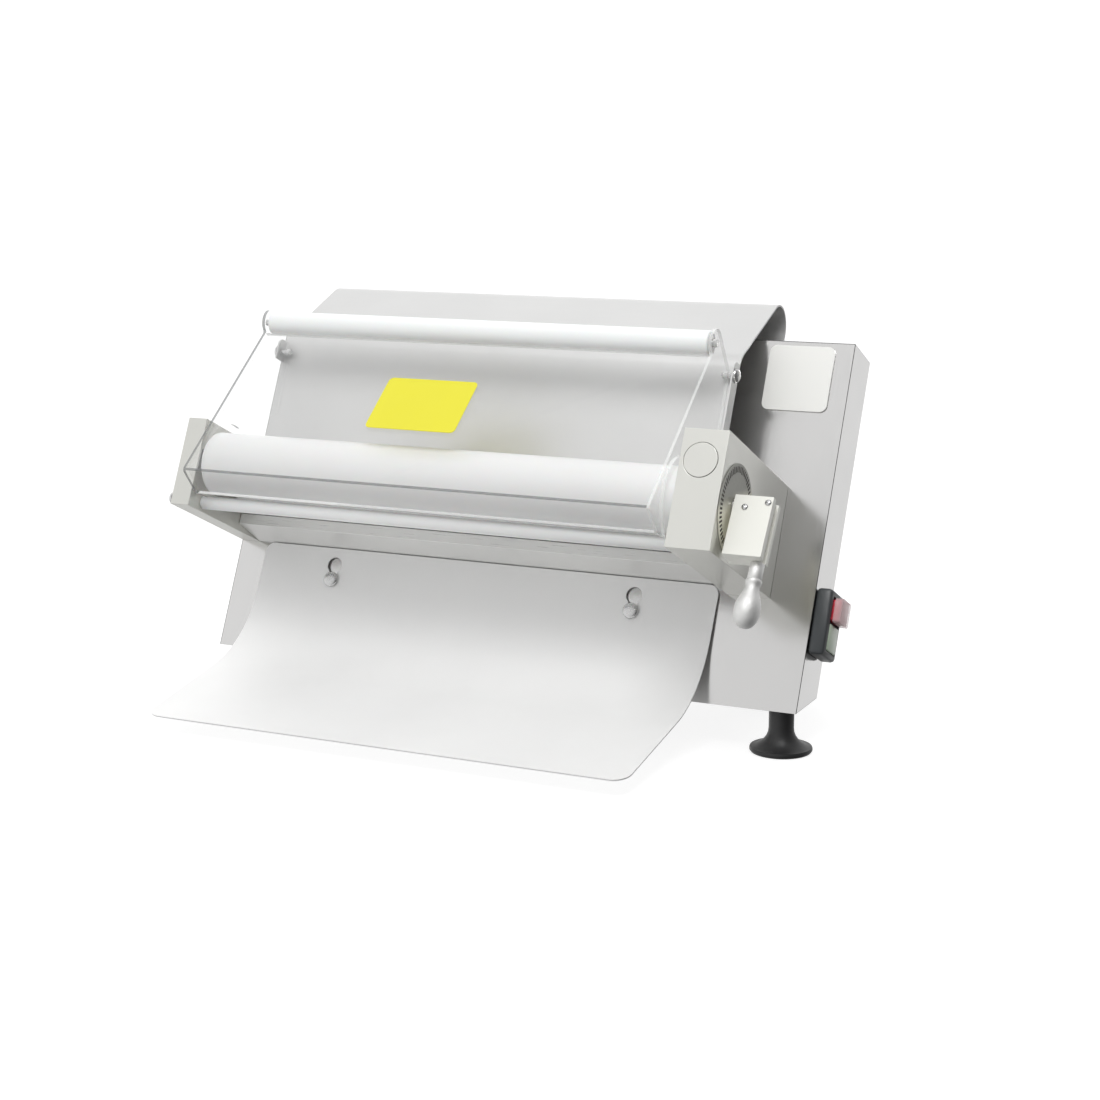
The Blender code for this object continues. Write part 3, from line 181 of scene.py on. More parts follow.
def plate_mesh(name, outline, x_range, holes=()):
    """A plate with a (u, v) outline between two x values."""
    turn = Matrix.Translation((sum(x_range) / 2, 0.0, 0.0)) @ OUTLINE_TO_X
    return filled_mesh(name, [outline, *holes], x_range[1] - x_range[0], turn)


def face_plate_mesh(name, outline, u_range, holes=()):
    """A plate with an (x, v) outline between two u values."""
    turn = Matrix.Translation((0.0, -sum(u_range) / 2, 0.0)) @ LAID_ON_PANEL
    return filled_mesh(name, [outline, *holes], u_range[1] - u_range[0], turn)


def ribbon_mesh(name, rows):
    """An open strip through (left x, right x, u, v) rows; its normals point left of the walk."""
    bm = bmesh.new()
    left, right, u, v = rows[0]
    edge = bm.edges.new((bm.verts.new((left, -u, v)), bm.verts.new((right, -u, v))))
    for left, right, u, v in rows[1:]:
        made = bmesh.ops.extrude_edge_only(bm, edges=[edge])["geom"]
        ends = sorted((item for item in made if isinstance(item, bmesh.types.BMVert)),
                      key=lambda vertex: vertex.co.x)
        ends[0].co = (left, -u, v)
        ends[1].co = (right, -u, v)
        edge = bm.edges.get(ends)
    bmesh.ops.recalc_face_normals(bm, faces=bm.faces)
    bm.faces.ensure_lookup_table()
    bm.normal_update()
    left_of_walk = Vector((0.0, rows[1][3] - rows[0][3], rows[1][2] - rows[0][2]))
    if bm.faces[0].normal.dot(left_of_walk) < 0.0:
        bmesh.ops.reverse_faces(bm, faces=bm.faces)
    mesh = bpy.data.meshes.new(name)
    bm.to_mesh(mesh)
    bm.free()
    return mesh


# Outlines ---------------------------------------------------------------------------------------
def arc(centre, radius, start, end, steps):
    """Points of an arc, both ends included."""
    points = []
    for step in range(steps + 1):
        angle = start + (end - start) * step / steps
        points.append((centre[0] + radius * math.cos(angle), centre[1] + radius * math.sin(angle)))
    return points


def circle(radius, centre=(0.0, 0.0), segments=48):
    """Points of a circle."""
    return arc(centre, radius, 0.0, 2 * math.pi, segments)[:-1]


def rounded_rectangle(centre, width, height, radius, steps=8):
    """A rectangle with round corners."""
    points = []
    quarter = math.pi / 2
    for index, (sign_a, sign_b) in enumerate(((1, 1), (-1, 1), (-1, -1), (1, -1))):
        corner = (centre[0] + sign_a * (width / 2 - radius), centre[1] + sign_b * (height / 2 - radius))
        points += arc(corner, radius, index * quarter, (index + 1) * quarter, steps)
    return points


# Pieces -----------------------------------------------------------------------------------------
# Angles, in degrees, above which an edge is shaded as sharp.
SHARP_FLAT = 30.0
SHARP_PLAIN = 35.0
SHARP_SHEET = 40.0
SHARP_TURNED = 50.0
SHARP_DOMED = 55.0
SHARP_ROUND = 60.0


def smooth(mesh, sharp_above):
    """Smooth shading, with sharp edges above an angle."""
    mesh.shade_smooth()
    mesh.set_sharp_from_angle(angle=math.radians(sharp_above))


def show(name, mesh, matrix, material, node, sharp_above=SHARP_PLAIN, extra=False):
    """A visible piece with a CAD node's body; it replaces the node unless it is an extra."""
    mesh.transform(matrix)
    mesh.materials.clear()
    mesh.materials.append(material)
    smooth(mesh, sharp_above)
    piece = bpy.data.objects.new(name, mesh)
    bpy.context.scene.collection.objects.link(piece)
    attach(piece, BODY_OF[node])
    if not extra:
        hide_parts(node)
    return piece


BEVEL_ANGLE = math.radians(40.0)


def bevel(piece, width, segments=3):
    """Round the piece's sharp edges."""
    modifier = piece.modifiers.new("bevel", "BEVEL")
    modifier.width = width
    modifier.segments = segments
    modifier.limit_method = "ANGLE"
    modifier.angle_limit = BEVEL_ANGLE
    modifier.harden_normals = True
    return piece


def solidify(piece, thickness, offset):
    """Give an open sheet its thickness."""
    modifier = piece.modifiers.new("wall", "SOLIDIFY")
    modifier.thickness = thickness
    modifier.offset = offset
    modifier.use_even_offset = True
    return piece


def boolean(piece, mesh, operation, matrix=PANEL):
    """Cut or join a solid, and remove it."""
    mesh.transform(matrix)
    other = bpy.data.objects.new("tool", mesh)
    bpy.context.scene.collection.objects.link(other)
    modifier = piece.modifiers.new("boolean", "BOOLEAN")
    modifier.operation = operation
    modifier.solver = "EXACT"
    modifier.object = other
    apply_modifiers(piece)
    bpy.data.objects.remove(other, do_unlink=True)
    return piece


def apply_modifiers(piece):
    """Bake the piece's modifiers into its mesh."""
    bpy.context.view_layer.update()
    evaluated = piece.evaluated_get(bpy.context.evaluated_depsgraph_get())
    mesh = bpy.data.meshes.new_from_object(evaluated)
    piece.modifiers.clear()
    piece.data = mesh


def placed(x, u, v, turn=None):
    """The matrix of a turned piece at (x, u, v); turn aims its z axis."""
    matrix = PANEL @ Matrix.Translation((x, -u, v))
    return matrix @ turn if turn is not None else matrix


TO_RIGHT = Matrix.Rotation(math.pi / 2, 4, "Y")
TO_LEFT = Matrix.Rotation(-math.pi / 2, 4, "Y")
FORWARD = Matrix.Rotation(math.pi / 2, 4, "X")


# Materials --------------------------------------------------------------------------------------
NOISE_SPAN = (0.3, 0.7)            # where nearly all values of a noise lie
UNIT_SPAN = (0.0, 1.0)


def map_range(tree, source, seen, given, soft=False):
    """Map one range of values to another in a node tree."""
    node = tree.nodes.new("ShaderNodeMapRange")
    if soft:
        node.interpolation_type = "SMOOTHSTEP"
    for name, value in zip(("From Min", "From Max", "To Min", "To Max"), (*seen, *given)):
        node.inputs[name].default_value = value
    tree.links.new(source, node.inputs["Value"])
    return node.outputs["Result"]


class Shader:
    """A material with a Principled shader and short calls for its nodes."""

    def __init__(self, name, colour, roughness, metallic=0.0, **sockets):
        self.material = bpy.data.materials.new(name)
        self.material.use_nodes = True
        self.tree = self.material.node_tree
        self.bsdf = self.tree.nodes["Principled BSDF"]
        self.bsdf.inputs["Base Color"].default_value = (*colour, 1.0)
        self.bsdf.inputs["Roughness"].default_value = roughness
        self.bsdf.inputs["Metallic"].default_value = metallic
        for socket, value in sockets.items():
            self.bsdf.inputs[socket.replace("_", " ")].default_value = value
        self.colour = colour
        self.relief = None

    def node(self, kind, **values):
        """A new node; its inputs are given by name."""
        node = self.tree.nodes.new("ShaderNode" + kind)
        for key, value in values.items():
            node.inputs[key.replace("_", " ")].default_value = value
        return node

    def link(self, output, target):
        """Join two sockets."""
        self.tree.links.new(output, target)

    def noise(self, scale, detail=3.0, stretch=(1.0, 1.0, 1.0)):
        """Noise over the piece, with features of 1/scale metres, stretched by the given scales."""
        place = self.node("TexCoord")
        mapping = self.node("Mapping", Scale=stretch)
        texture = self.node("TexNoise", Scale=scale, Detail=detail)
        self.link(place.outputs["Object"], mapping.inputs["Vector"])
        self.link(mapping.outputs["Vector"], texture.inputs["Vector"])
        return texture.outputs["Fac"]

    def blend_colour(self, factor, first, second):
        """Mix the base colour from two colours."""
        mix = self.node("Mix")         # its colour sockets are 6 and 7, the result is 2
        mix.data_type = "RGBA"
        mix.inputs[6].default_value = (*first, 1.0)
        mix.inputs[7].default_value = (*second, 1.0)
        self.link(factor, mix.inputs[0])
        self.link(mix.outputs[2], self.bsdf.inputs["Base Color"])

    def vary_colour(self, factor, low, high):
        """Shade the base colour between two multiples of it."""
        darker = [channel * low for channel in self.colour]
        lighter = [min(channel * high, 1.0) for channel in self.colour]
        self.blend_colour(map_range(self.tree, factor, NOISE_SPAN, UNIT_SPAN), darker, lighter)

    def grade_colour(self, heights, top):
        """Blend the base colour into another one between two heights."""
        place = self.node("TexCoord")
        split = self.node("SeparateXYZ")
        self.link(place.outputs["Object"], split.inputs["Vector"])
        share = map_range(self.tree, split.outputs["Z"], heights, UNIT_SPAN, soft=True)
        self.blend_colour(share, self.colour, top)

    def vary_roughness(self, factor, low, high):
        """Spread the roughness between two values."""
        self.link(map_range(self.tree, factor, NOISE_SPAN, (low, high)), self.bsdf.inputs["Roughness"])

    def bump(self, factor, strength, distance):
        """Relief from a factor; a second call adds to the first."""
        node = self.node("Bump", Strength=strength, Distance=distance)
        self.link(factor, node.inputs["Height"])
        if self.relief is not None:
            self.link(self.relief, node.inputs["Normal"])
        self.relief = node.outputs["Normal"]
        self.link(self.relief, self.bsdf.inputs["Normal"])


# Noise scales that draw the grain out along one direction.
ALONG_X = (0.02, 1.0, 1.0)
UP_SLOPE = (1.0, 0.02, 0.02)
FINE_SKIN = 1500.0                 # noise scale of a fine skin


def brushed_metal(name, colour, roughness, grain=ALONG_X, depth=0.05, metallic=1.0):
    """Steel sheet with fine parallel grain, faint cloudiness and a slight waviness."""
    shader = Shader(name, colour, roughness, metallic)
    lines = shader.noise(1900.0, 2.0, grain)
    clouds = shader.noise(9.0, 4.0)
    shader.vary_colour(clouds, 0.965, 1.02)
    shader.vary_roughness(lines, roughness - 0.03, roughness + 0.04)
    shader.bump(lines, depth, 0.00002)
    shader.bump(shader.noise(2.2, 1.0), 0.12, 0.0008)
    return shader.material


def cast_metal(name, colour, roughness):
    """Satin cast metal with a grainy skin."""
    shader = Shader(name, colour, roughness, 0.9)
    shader.vary_colour(shader.noise(60.0, 5.0), 0.90, 1.05)
    shader.vary_roughness(shader.noise(300.0, 3.0), roughness - 0.06, roughness + 0.10)
    shader.bump(shader.noise(900.0, 3.0), 0.25, 0.0001)
    return shader.material


def turned_metal(name, colour, roughness):
    """Machined steel with fine tool marks."""
    shader = Shader(name, colour, roughness, 1.0)
    shader.vary_colour(shader.noise(25.0, 3.0), 0.92, 1.03)
    shader.vary_roughness(shader.noise(500.0, 2.0), roughness - 0.05, roughness + 0.08)
    shader.bump(shader.noise(FINE_SKIN, 2.0), 0.08, 0.00004)
    return shader.material


def moulded(name, colour, roughness, grain=1200.0, depth=0.12, spread=0.04, **sockets):
    """Moulded plastic, rubber or enamel with a fine skin."""
    shader = Shader(name, colour, roughness, **sockets)
    shader.vary_colour(shader.noise(14.0, 4.0), 1.0 - spread, 1.0 + spread / 2)
    shader.vary_roughness(shader.noise(70.0, 3.0), max(roughness - 0.05, 0.02), roughness + 0.06)
    shader.bump(shader.noise(grain, 2.0), depth, 0.00005)
    return shader.material


def clear_sheet(name, colour, face_alpha, rim_alpha, roughness=0.04):
    """Clear plastic: nearly invisible face on, more solid at a glancing angle."""
    shader = Shader(name, colour, roughness, Specular_IOR_Level=0.6)
    weight = shader.node("LayerWeight", Blend=0.25)
    alpha = map_range(shader.tree, weight.outputs["Fresnel"], UNIT_SPAN, (face_alpha, rim_alpha))
    shader.link(alpha, shader.bsdf.inputs["Alpha"])
    shader.vary_roughness(shader.noise(12.0, 5.0), roughness, roughness + 0.06)
    shader.bump(shader.noise(6.0, 2.0), 0.05, 0.0004)
    return shader.material


STEEL = brushed_metal("brushed_steel", (0.72, 0.715, 0.71), 0.17, UP_SLOPE)
SIDE_STEEL = brushed_metal("casing_steel", (0.68, 0.68, 0.675), 0.26, UP_SLOPE)
CHUTE_STEEL = brushed_metal("chute_satin", (0.66, 0.66, 0.655), 0.42, ALONG_X, 0.04, 0.50)
TRAY_STEEL = brushed_metal("tray_satin", (0.96, 0.96, 0.955), 0.50, ALONG_X, 0.03, 0.15)
# near-black steel for the shell's rounded folds: a painted dark line standing in for the shade
# reflected in the bends
FOLD_PAINTED_SHADE = brushed_metal("fold_painted_shade", (0.12, 0.12, 0.12), 0.35, UP_SLOPE)
# lighter, less metallic copy of the cross member's steel for its front lip: painted highlight
LIP_PAINTED_HIGHLIGHT = brushed_metal("lip_painted_highlight", (0.97, 0.97, 0.955), 0.30, ALONG_X, 0.04, 0.30)
CROSS_STEEL = brushed_metal("cross_steel", (0.84, 0.84, 0.825), 0.36, ALONG_X, 0.04, 0.60)
ARM_STEEL = brushed_metal("arm_satin", (0.73, 0.73, 0.69), 0.33, UP_SLOPE, 0.04, 0.70)
BLOCK_ENAMEL = moulded("block_enamel", (0.90, 0.90, 0.84), 0.34, FINE_SKIN, 0.06, 0.02)
MACHINED = turned_metal("machined_steel", (0.66, 0.66, 0.66), 0.24)
ALUMINIUM = cast_metal("cast_aluminium", (0.82, 0.82, 0.81), 0.58)
WHITE_PLASTIC = moulded("white_plastic", (0.97, 0.97, 0.965), 0.34, 900.0, 0.04, 0.012,
                        Subsurface_Weight=0.08)
ROLLER_PLASTIC = moulded("roller_plastic", (0.82, 0.82, 0.815), 0.34, 900.0, 0.04, 0.012,
                         Subsurface_Weight=0.08)
RUBBER = moulded("black_rubber", (0.026, 0.026, 0.027), 0.46, 700.0, 0.20, 0.20)
DARK_PLASTIC = moulded("dark_plastic", (0.050, 0.056, 0.060), 0.40, 1600.0, 0.30, 0.10)
RED_PLASTIC = moulded("red_plastic", (0.72, 0.055, 0.085), 0.28, FINE_SKIN, 0.04, 0.05,
                      Coat_Weight=0.3)
GREEN_PLASTIC = moulded("green_plastic", (0.50, 0.60, 0.47), 0.30, FINE_SKIN, 0.04, 0.04,
                        Coat_Weight=0.2)
BADGE_PLASTIC = moulded("badge_plastic", (0.92, 0.92, 0.89), 0.14, FINE_SKIN, 0.01, 0.02,
                        Coat_Weight=0.3)
YELLOW_FILM = moulded("yellow_film", (0.81, 0.75, 0.025), 0.42, FINE_SKIN, 0.05, 0.02)
CLEAR = clear_sheet("clear_plastic", (0.97, 0.98, 0.98), 0.025, 0.11)
# guard edge materials: dark grey is painted shade for the left edges and the bend's foot, near-white is
# painted highlight for the right edges and rims
PAINTED_DARK_EDGE = clear_sheet("painted_dark_edge", (0.22, 0.23, 0.23), 0.72, 0.88, 0.22)
PAINTED_BRIGHT_EDGE = clear_sheet("painted_bright_edge", (0.97, 0.98, 0.97), 0.45, 0.70, 0.12)
CAP_CLEAR = clear_sheet("cap_clear", (0.97, 0.76, 0.78), 0.30, 0.85, 0.10)
DARK_INK = moulded("dark_ink", (0.035, 0.028, 0.022), 0.55, FINE_SKIN, 0.05, 0.10)
MOTOR_ENAMEL = moulded("motor_enamel", (0.12, 0.14, 0.16), 0.45, 800.0, 0.10, 0.06)


def dial_painted_reflection():
    """Satin scale disc whose colour is painted reflection: pale cream below, blending into a painted
    dark reflection above its middle.
    """
    shader = Shader("dial_painted_reflection", (0.95, 0.93, 0.79), 0.42, 0.1)
    middle = (PANEL @ DIAL_CENTRE).z
    # the darker top colour is a painted dark reflection, the pale cream base a painted bright one
    shader.grade_colour((middle + 0.002, middle + 0.016), (0.32, 0.32, 0.29))
    shader.vary_roughness(shader.noise(400.0, 2.0), 0.36, 0.46)
    shader.bump(shader.noise(FINE_SKIN, 2.0), 0.06, 0.00004)
    return shader.material


DIAL_PAINTED_REFLECTION = dial_painted_reflection()


def paint(node, material):
    """Give a CAD node its material."""
    piece = NODES[node]
    piece.data.materials.clear()
    piece.data.materials.append(material)
    return piece


CAD_WELD = 0.00002
CAD_FLAT = math.radians(1.0)


def soften(node, material, width, segments=3, fold=None):
    """A copy of a CAD node in its place, with rounded edges that may take a second material, such as a
    painted dark fold line.
    """
    bm = bmesh.new()
    bm.from_mesh(NODES[node].data)
    bmesh.ops.remove_doubles(bm, verts=bm.verts, dist=CAD_WELD)
    bmesh.ops.dissolve_limit(bm, angle_limit=CAD_FLAT, verts=bm.verts, edges=bm.edges)
    mesh = mesh_from(bm, node)
    piece = bevel(show(node + "_rounded", mesh, Matrix.Identity(4), material, node), width, segments)
    if fold is not None:
        piece.data.materials.append(fold)
        piece.modifiers["bevel"].material = 1
    return piece


# Housing ----------------------------------------------------------------------------------------
SHELL_FOLD = 0.0018
CASING_FOLD = 0.0008
PLAIN_NODES = (
    (STEEL, ("rear_plate", "base_plate")),
    (MOTOR_ENAMEL, ("gearmotor",)),
    (WHITE_PLASTIC, ("run_capacitor", "terminal_block")),
    (DARK_PLASTIC, ("cable_gland",)),
    (MACHINED, ("motor_bracket", "motor_shaft", "motor_sprocket", "roller_sprocket", "drive_chain",
                "rear_roller_gear", "front_roller_gear", "gap_cam", "gap_spindle", "rear_bush_left",
                "rear_bush_right", "front_bearing_block_left", "front_bearing_block_right",
                "rear_roller_shaft", "front_roller_shaft", "guard_roller_axle", "chute_standoff_left",
                "chute_standoff_right", "lever_hub")),
)


def housing():
    """Steel sheets with rounded folds, the shell's folds lined in painted shade, and the CAD nodes that
    keep their shape.
    """
    for material, nodes in PLAIN_NODES:
        for node in nodes:
            paint(node, material)
    # the shell's bevelled folds take the painted dark fold line
    soften("housing_shell", STEEL, SHELL_FOLD, 4, FOLD_PAINTED_SHADE)
    soften("motor_casing", SIDE_STEEL, CASING_FOLD)


FOOT_STEM = 0.0105
SKIRT_TOP = 0.0215
SKIRT_FOOT = 0.0048
SKIRT_RISE = 0.0160
SKIRT_ROOT = 0.0110                # radius where the flare leaves the stem
SKIRT_STEPS = 8
LIP_TOP = 0.0036


def feet():
    """Rubber feet: a stem, a flared skirt and a thin lip on the floor."""
    low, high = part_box("foot_front_right")
    height = high.z - low.z
    radius = (high.x - low.x) / 2
    profile = [(0.0, height), (FOOT_STEM - 0.0002, height), (FOOT_STEM, height - 0.0006),
               (FOOT_STEM, SKIRT_TOP)]
    for step in range(SKIRT_STEPS + 1):
        angle = math.pi / 2 * step / SKIRT_STEPS
        inward = (radius - SKIRT_ROOT) * math.cos(angle) ** 1.6
        rise = SKIRT_RISE * (1.0 - math.sin(angle)) ** 1.25
        profile.append((radius - 0.0005 - inward, SKIRT_FOOT + rise))
    profile += [(radius, LIP_TOP), (radius, 0.0022), (radius - 0.0012, 0.0006), (radius - 0.0030, 0.0),
                (0.0, 0.0)]
    for node in ("foot_front_left", "foot_front_right", "foot_rear_left", "foot_rear_right"):
        low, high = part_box(node)
        middle = Matrix.Translation(((low.x + high.x) / 2, (low.y + high.y) / 2, low.z))
        show(node + "_skin", turned_mesh(node, profile, 72), middle, RUBBER, node, SHARP_TURNED)


BADGE_CORNER = 0.0062
BADGE_TOP = 0.0015
BADGE_DOME = 0.0009


def badge():
    """Blank domed badge."""
    low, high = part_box("badge")
    x, _, v = panel_point((low + high) / 2)
    width = high.x - low.x
    outline = rounded_rectangle((x, v), width, width, BADGE_CORNER)
    base = face_plate_mesh("badge", outline, (FIT, BADGE_TOP))
    bevel(show("badge_dome", base, PANEL, BADGE_PLASTIC, "badge", SHARP_FLAT), BADGE_DOME, 4)


# Arms -------------------------------------------------------------------------------------------
ARM_FOLD = 0.0007
PLUG_EDGE = 0.0003
ARM_BOLT_DOME = ((0.0, 0.0050), (0.0016, 0.0049), (0.0030, 0.0045), (0.0044, 0.0037), (0.0054, 0.0027),
                 (0.0060, 0.0014), (0.0060, FIT), (0.0, FIT))


def arms():
    """Arm casings with small fold radii, the plug and the dome bolt."""
    for node in ("left_arm_casing", "right_arm_casing"):
        soften(node, ARM_STEEL, ARM_FOLD)
    soften("arm_plug", ARM_STEEL, PLUG_EDGE, 2)
    low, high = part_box("left_arm_bolt")
    _, u, v = panel_point((low + high) / 2)
    at = placed(node_x("left_arm_casing")[0], u, v, TO_LEFT)
    dome = turned_mesh("left_arm_bolt", ARM_BOLT_DOME, 40)
    show("left_arm_bolt_head", dome, at, MACHINED, "left_arm_bolt", SHARP_DOMED)


# Rollers ----------------------------------------------------------------------------------------
ROLLER_RADIUS, ROLLER_BORE = 0.0280, 0.0073
GUIDE_RADIUS, GUIDE_BORE = 0.0105, 0.0033
SLEEVE_EDGE = 0.0020
ROD_RADIUS = 0.0060
ROD_EDGE = 0.0004


def sleeve_profile(length, radius, bore):
    """A tube's profile with well rounded ends."""
    middle = radius - SLEEVE_EDGE
    return [(bore, length), *arc((middle, length - SLEEVE_EDGE), SLEEVE_EDGE, math.pi / 2, 0.0, 6),
            *arc((middle, SLEEVE_EDGE), SLEEVE_EDGE, 0.0, -math.pi / 2, 6), (bore, 0.0), (bore, length)]


def rollers():
    """Two dough rollers, the guard's guide roller and the lower rod."""
    specs = (("front_roller", FRONT_ROLLER, ROLLER_RADIUS, ROLLER_BORE, ROLLER_PLASTIC),
             ("rear_roller", REAR_ROLLER, ROLLER_RADIUS, ROLLER_BORE, ROLLER_PLASTIC),
             ("guard_roller", GUARD_ROLLER, GUIDE_RADIUS, GUIDE_BORE, WHITE_PLASTIC))
    for node, axis, radius, bore, plastic in specs:
        left, right = node_x(node)
        sleeve = turned_mesh(node, sleeve_profile(right - left, radius, bore), 96)
        show(node + "_sleeve", sleeve, placed(left, *axis, TO_RIGHT), plastic, node, SHARP_ROUND)
    left, right = node_x("lower_rod")
    length = right - left
    low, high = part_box("lower_rod")
    _, u, v = panel_point((low + high) / 2)
    profile = [(0.0, length), (ROD_RADIUS - ROD_EDGE, length), (ROD_RADIUS, length - ROD_EDGE),
               (ROD_RADIUS, ROD_EDGE), (ROD_RADIUS - ROD_EDGE, 0.0), (0.0, 0.0)]
    rod = turned_mesh("lower_rod", profile, 48)
    show("lower_rod_bar", rod, placed(left, u, v, TO_RIGHT), WHITE_PLASTIC, "lower_rod", SHARP_ROUND)


# Sheets -----------------------------------------------------------------------------------------
SHEET = 0.0015
CHUTE_U = 0.044
CHUTE_LOW_V = 0.177
CHUTE_BEND_V = 0.288
CHUTE_BEND_RADIUS = 0.022
RAMP_TURN = math.radians(42.8)
RAMP_LENGTH = 0.094
CURL_RADIUS = 0.020
CURL_TAIL = 0.030
FLANGE_V = (0.205, 0.2815)
FLANGE_REACH = 0.056
FLANGE_CORNER = 0.006
LEFT_FLANGE_V = 0.262              # the left flange is only an ear around the pivot
PIVOT_HOLE = 0.0031
# The side of a ribbon on which solidify() puts its thickness.
BEHIND = -1.0
AHEAD = 1.0


def feed_chute():
    """The chute with smooth bends, and its side flanges."""
    points = [(CHUTE_U, CHUTE_LOW_V)]
    setback = CHUTE_BEND_RADIUS * math.tan(RAMP_TURN / 2)
    bend = (CHUTE_U - CHUTE_BEND_RADIUS, CHUTE_BEND_V - setback)
    points += arc(bend, CHUTE_BEND_RADIUS, 0.0, RAMP_TURN, 20)
    run = RAMP_LENGTH - setback
    end = (points[-1][0] - run * math.sin(RAMP_TURN), points[-1][1] + run * math.cos(RAMP_TURN))
    curl = (end[0] - CURL_RADIUS * math.cos(RAMP_TURN), end[1] - CURL_RADIUS * math.sin(RAMP_TURN))
    points += arc(curl, CURL_RADIUS, RAMP_TURN, math.pi, 40)
    points.append((points[-1][0], points[-1][1] - CURL_TAIL))
    left, right = node_x("feed_chute")
    sheet = ribbon_mesh("feed_chute", [(left, right, u, v) for u, v in points])
    piece = show("feed_chute_sheet", sheet, PANEL, CHUTE_STEEL, "feed_chute", SHARP_SHEET)
    solidify(piece, SHEET, AHEAD)
    apply_modifiers(piece)
    root = CHUTE_U - SHEET / 2
    corner = (FLANGE_REACH - FLANGE_CORNER, FLANGE_V[1] - FLANGE_CORNER)
    hole = circle(PIVOT_HOLE, GUARD_PIVOT, 24)
    for x, foot in (((left, left + SHEET), LEFT_FLANGE_V), ((right - SHEET, right), FLANGE_V[0])):
        outline = [(root, foot), (FLANGE_REACH, foot),
                   *arc(corner, FLANGE_CORNER, 0.0, math.pi / 2, 10), (root, FLANGE_V[1])]
        boolean(piece, plate_mesh("flange", outline, x, [hole]), "UNION")
    smooth(piece.data, SHARP_SHEET)


CROSS_PROFILE = ((FIT, 0.1120), (FIT, 0.1006), (0.0400, 0.1068), (0.0400, 0.1165))
CROSS_LIP = 2                      # the strip between the profile's last two points
CROSS_EDGE = 0.0004


def cross_member():
    """The folded channel between the arms, with an upright front lip whose lighter steel is a painted
    highlight.
    """
    left, right = node_x("cross_member")
    sheet = ribbon_mesh("cross_member", [(left, right, u, v) for u, v in CROSS_PROFILE])
    piece = show("cross_member_fold", sheet, PANEL, CROSS_STEEL, "cross_member")
    # the lip takes the lighter steel as a painted highlight
    piece.data.materials.append(LIP_PAINTED_HIGHLIGHT)
    piece.data.polygons[CROSS_LIP].material_index = 1
    bevel(solidify(piece, SHEET, AHEAD), CROSS_EDGE, 2)


TRAY_SHEET = 0.0012
TRAY_TOP = (0.0025, 0.1002)
TRAY_BEND_START = (0.004, 0.058)
TRAY_BEND_RADIUS = 0.102
TRAY_BEND_ANGLE = math.radians(54.5)
TRAY_RUN = 0.1085
TRAY_TOP_CORNER = 0.009
TRAY_FRONT_CORNER = 0.014
TRAY_STEPS = 48
CORNER_STEPS = 12
TRAY_PIN_V = 0.0706
KEYHOLE_PITCH = 0.014
SLOT_RADIUS = 0.0043
HOLE_RADIUS = 0.0073
KEYHOLE_CUT = (-0.002, 0.008)      # the cutter's u range, through the sheet


def tray_profile():
    """The tray's front face as (u, v) points."""
    centre = (TRAY_BEND_START[0] + TRAY_BEND_RADIUS, TRAY_BEND_START[1])
    points = [TRAY_TOP, *arc(centre, TRAY_BEND_RADIUS, math.pi, math.pi + TRAY_BEND_ANGLE, TRAY_STEPS)]
    points.append((points[-1][0] + TRAY_RUN * math.sin(TRAY_BEND_ANGLE),
                   points[-1][1] - TRAY_RUN * math.cos(TRAY_BEND_ANGLE)))
    return points


def corner_stops(start, radius):
    """Distances at which a rounded corner needs a row."""
    quarter = math.pi / 2
    return [start + radius * (1 - math.cos(quarter * step / CORNER_STEPS))
            for step in range(CORNER_STEPS + 1)]


def corner_inset(distance, radius):
    """How far the side edge is set in near a rounded end."""
    if distance >= radius:
        return 0.0
    return radius - math.sqrt(max(radius ** 2 - (radius - distance) ** 2, 0.0))


def point_along(profile, lengths, distance):
    """The profile's point at a distance from its start."""
    for index in range(1, len(profile)):
        if distance <= lengths[index] + 1e-9:
            share = (distance - lengths[index - 1]) / (lengths[index] - lengths[index - 1])
            (a, b), (c, d) = profile[index - 1], profile[index]
            return a + (c - a) * share, b + (d - b) * share
    return profile[-1]


def keyhole_outline(x):
    """A round hole above a narrow slot."""
    half_open = math.asin(SLOT_RADIUS / HOLE_RADIUS)
    points = arc((x, TRAY_PIN_V + KEYHOLE_PITCH), HOLE_RADIUS, half_open - math.pi / 2,
                 1.5 * math.pi - half_open, 40)
    return points + arc((x, TRAY_PIN_V), SLOT_RADIUS, math.pi, 2 * math.pi, 20)


def tray():
    """The outfeed tray with its keyholes, and the two pins."""
    profile = tray_profile()
    lengths = [0.0]
    for first, second in zip(profile, profile[1:]):
        lengths.append(lengths[-1] + math.dist(first, second))
    total = lengths[-1]
    stops = {round(stop, 6) for stop in (*lengths, *corner_stops(0.0, TRAY_TOP_CORNER),
                                         *corner_stops(total, -TRAY_FRONT_CORNER))}
    left, right = node_x("tray")
    rows = []
    for distance in sorted(stops):
        u, v = point_along(profile, lengths, distance)
        inset = max(corner_inset(distance, TRAY_TOP_CORNER),
                    corner_inset(total - distance, TRAY_FRONT_CORNER))
        rows.append((left + inset, right - inset, u, v))
    piece = show("tray_sheet", ribbon_mesh("tray", rows), PANEL, TRAY_STEEL, "tray", SHARP_SHEET)
    solidify(piece, TRAY_SHEET, BEHIND)
    for node in ("tray_pin_left", "tray_pin_right"):
        x = sum(node_x(node)) / 2
        cutter = face_plate_mesh("keyhole", keyhole_outline(x), KEYHOLE_CUT)
        boolean(piece, cutter, "DIFFERENCE")
        pin(node, x)
    smooth(piece.data, SHARP_SHEET)


PIN_RADIUS = 0.0071
PIN_SHANK = 0.0035
PIN_HEAD = 0.0032                  # thickness of the head


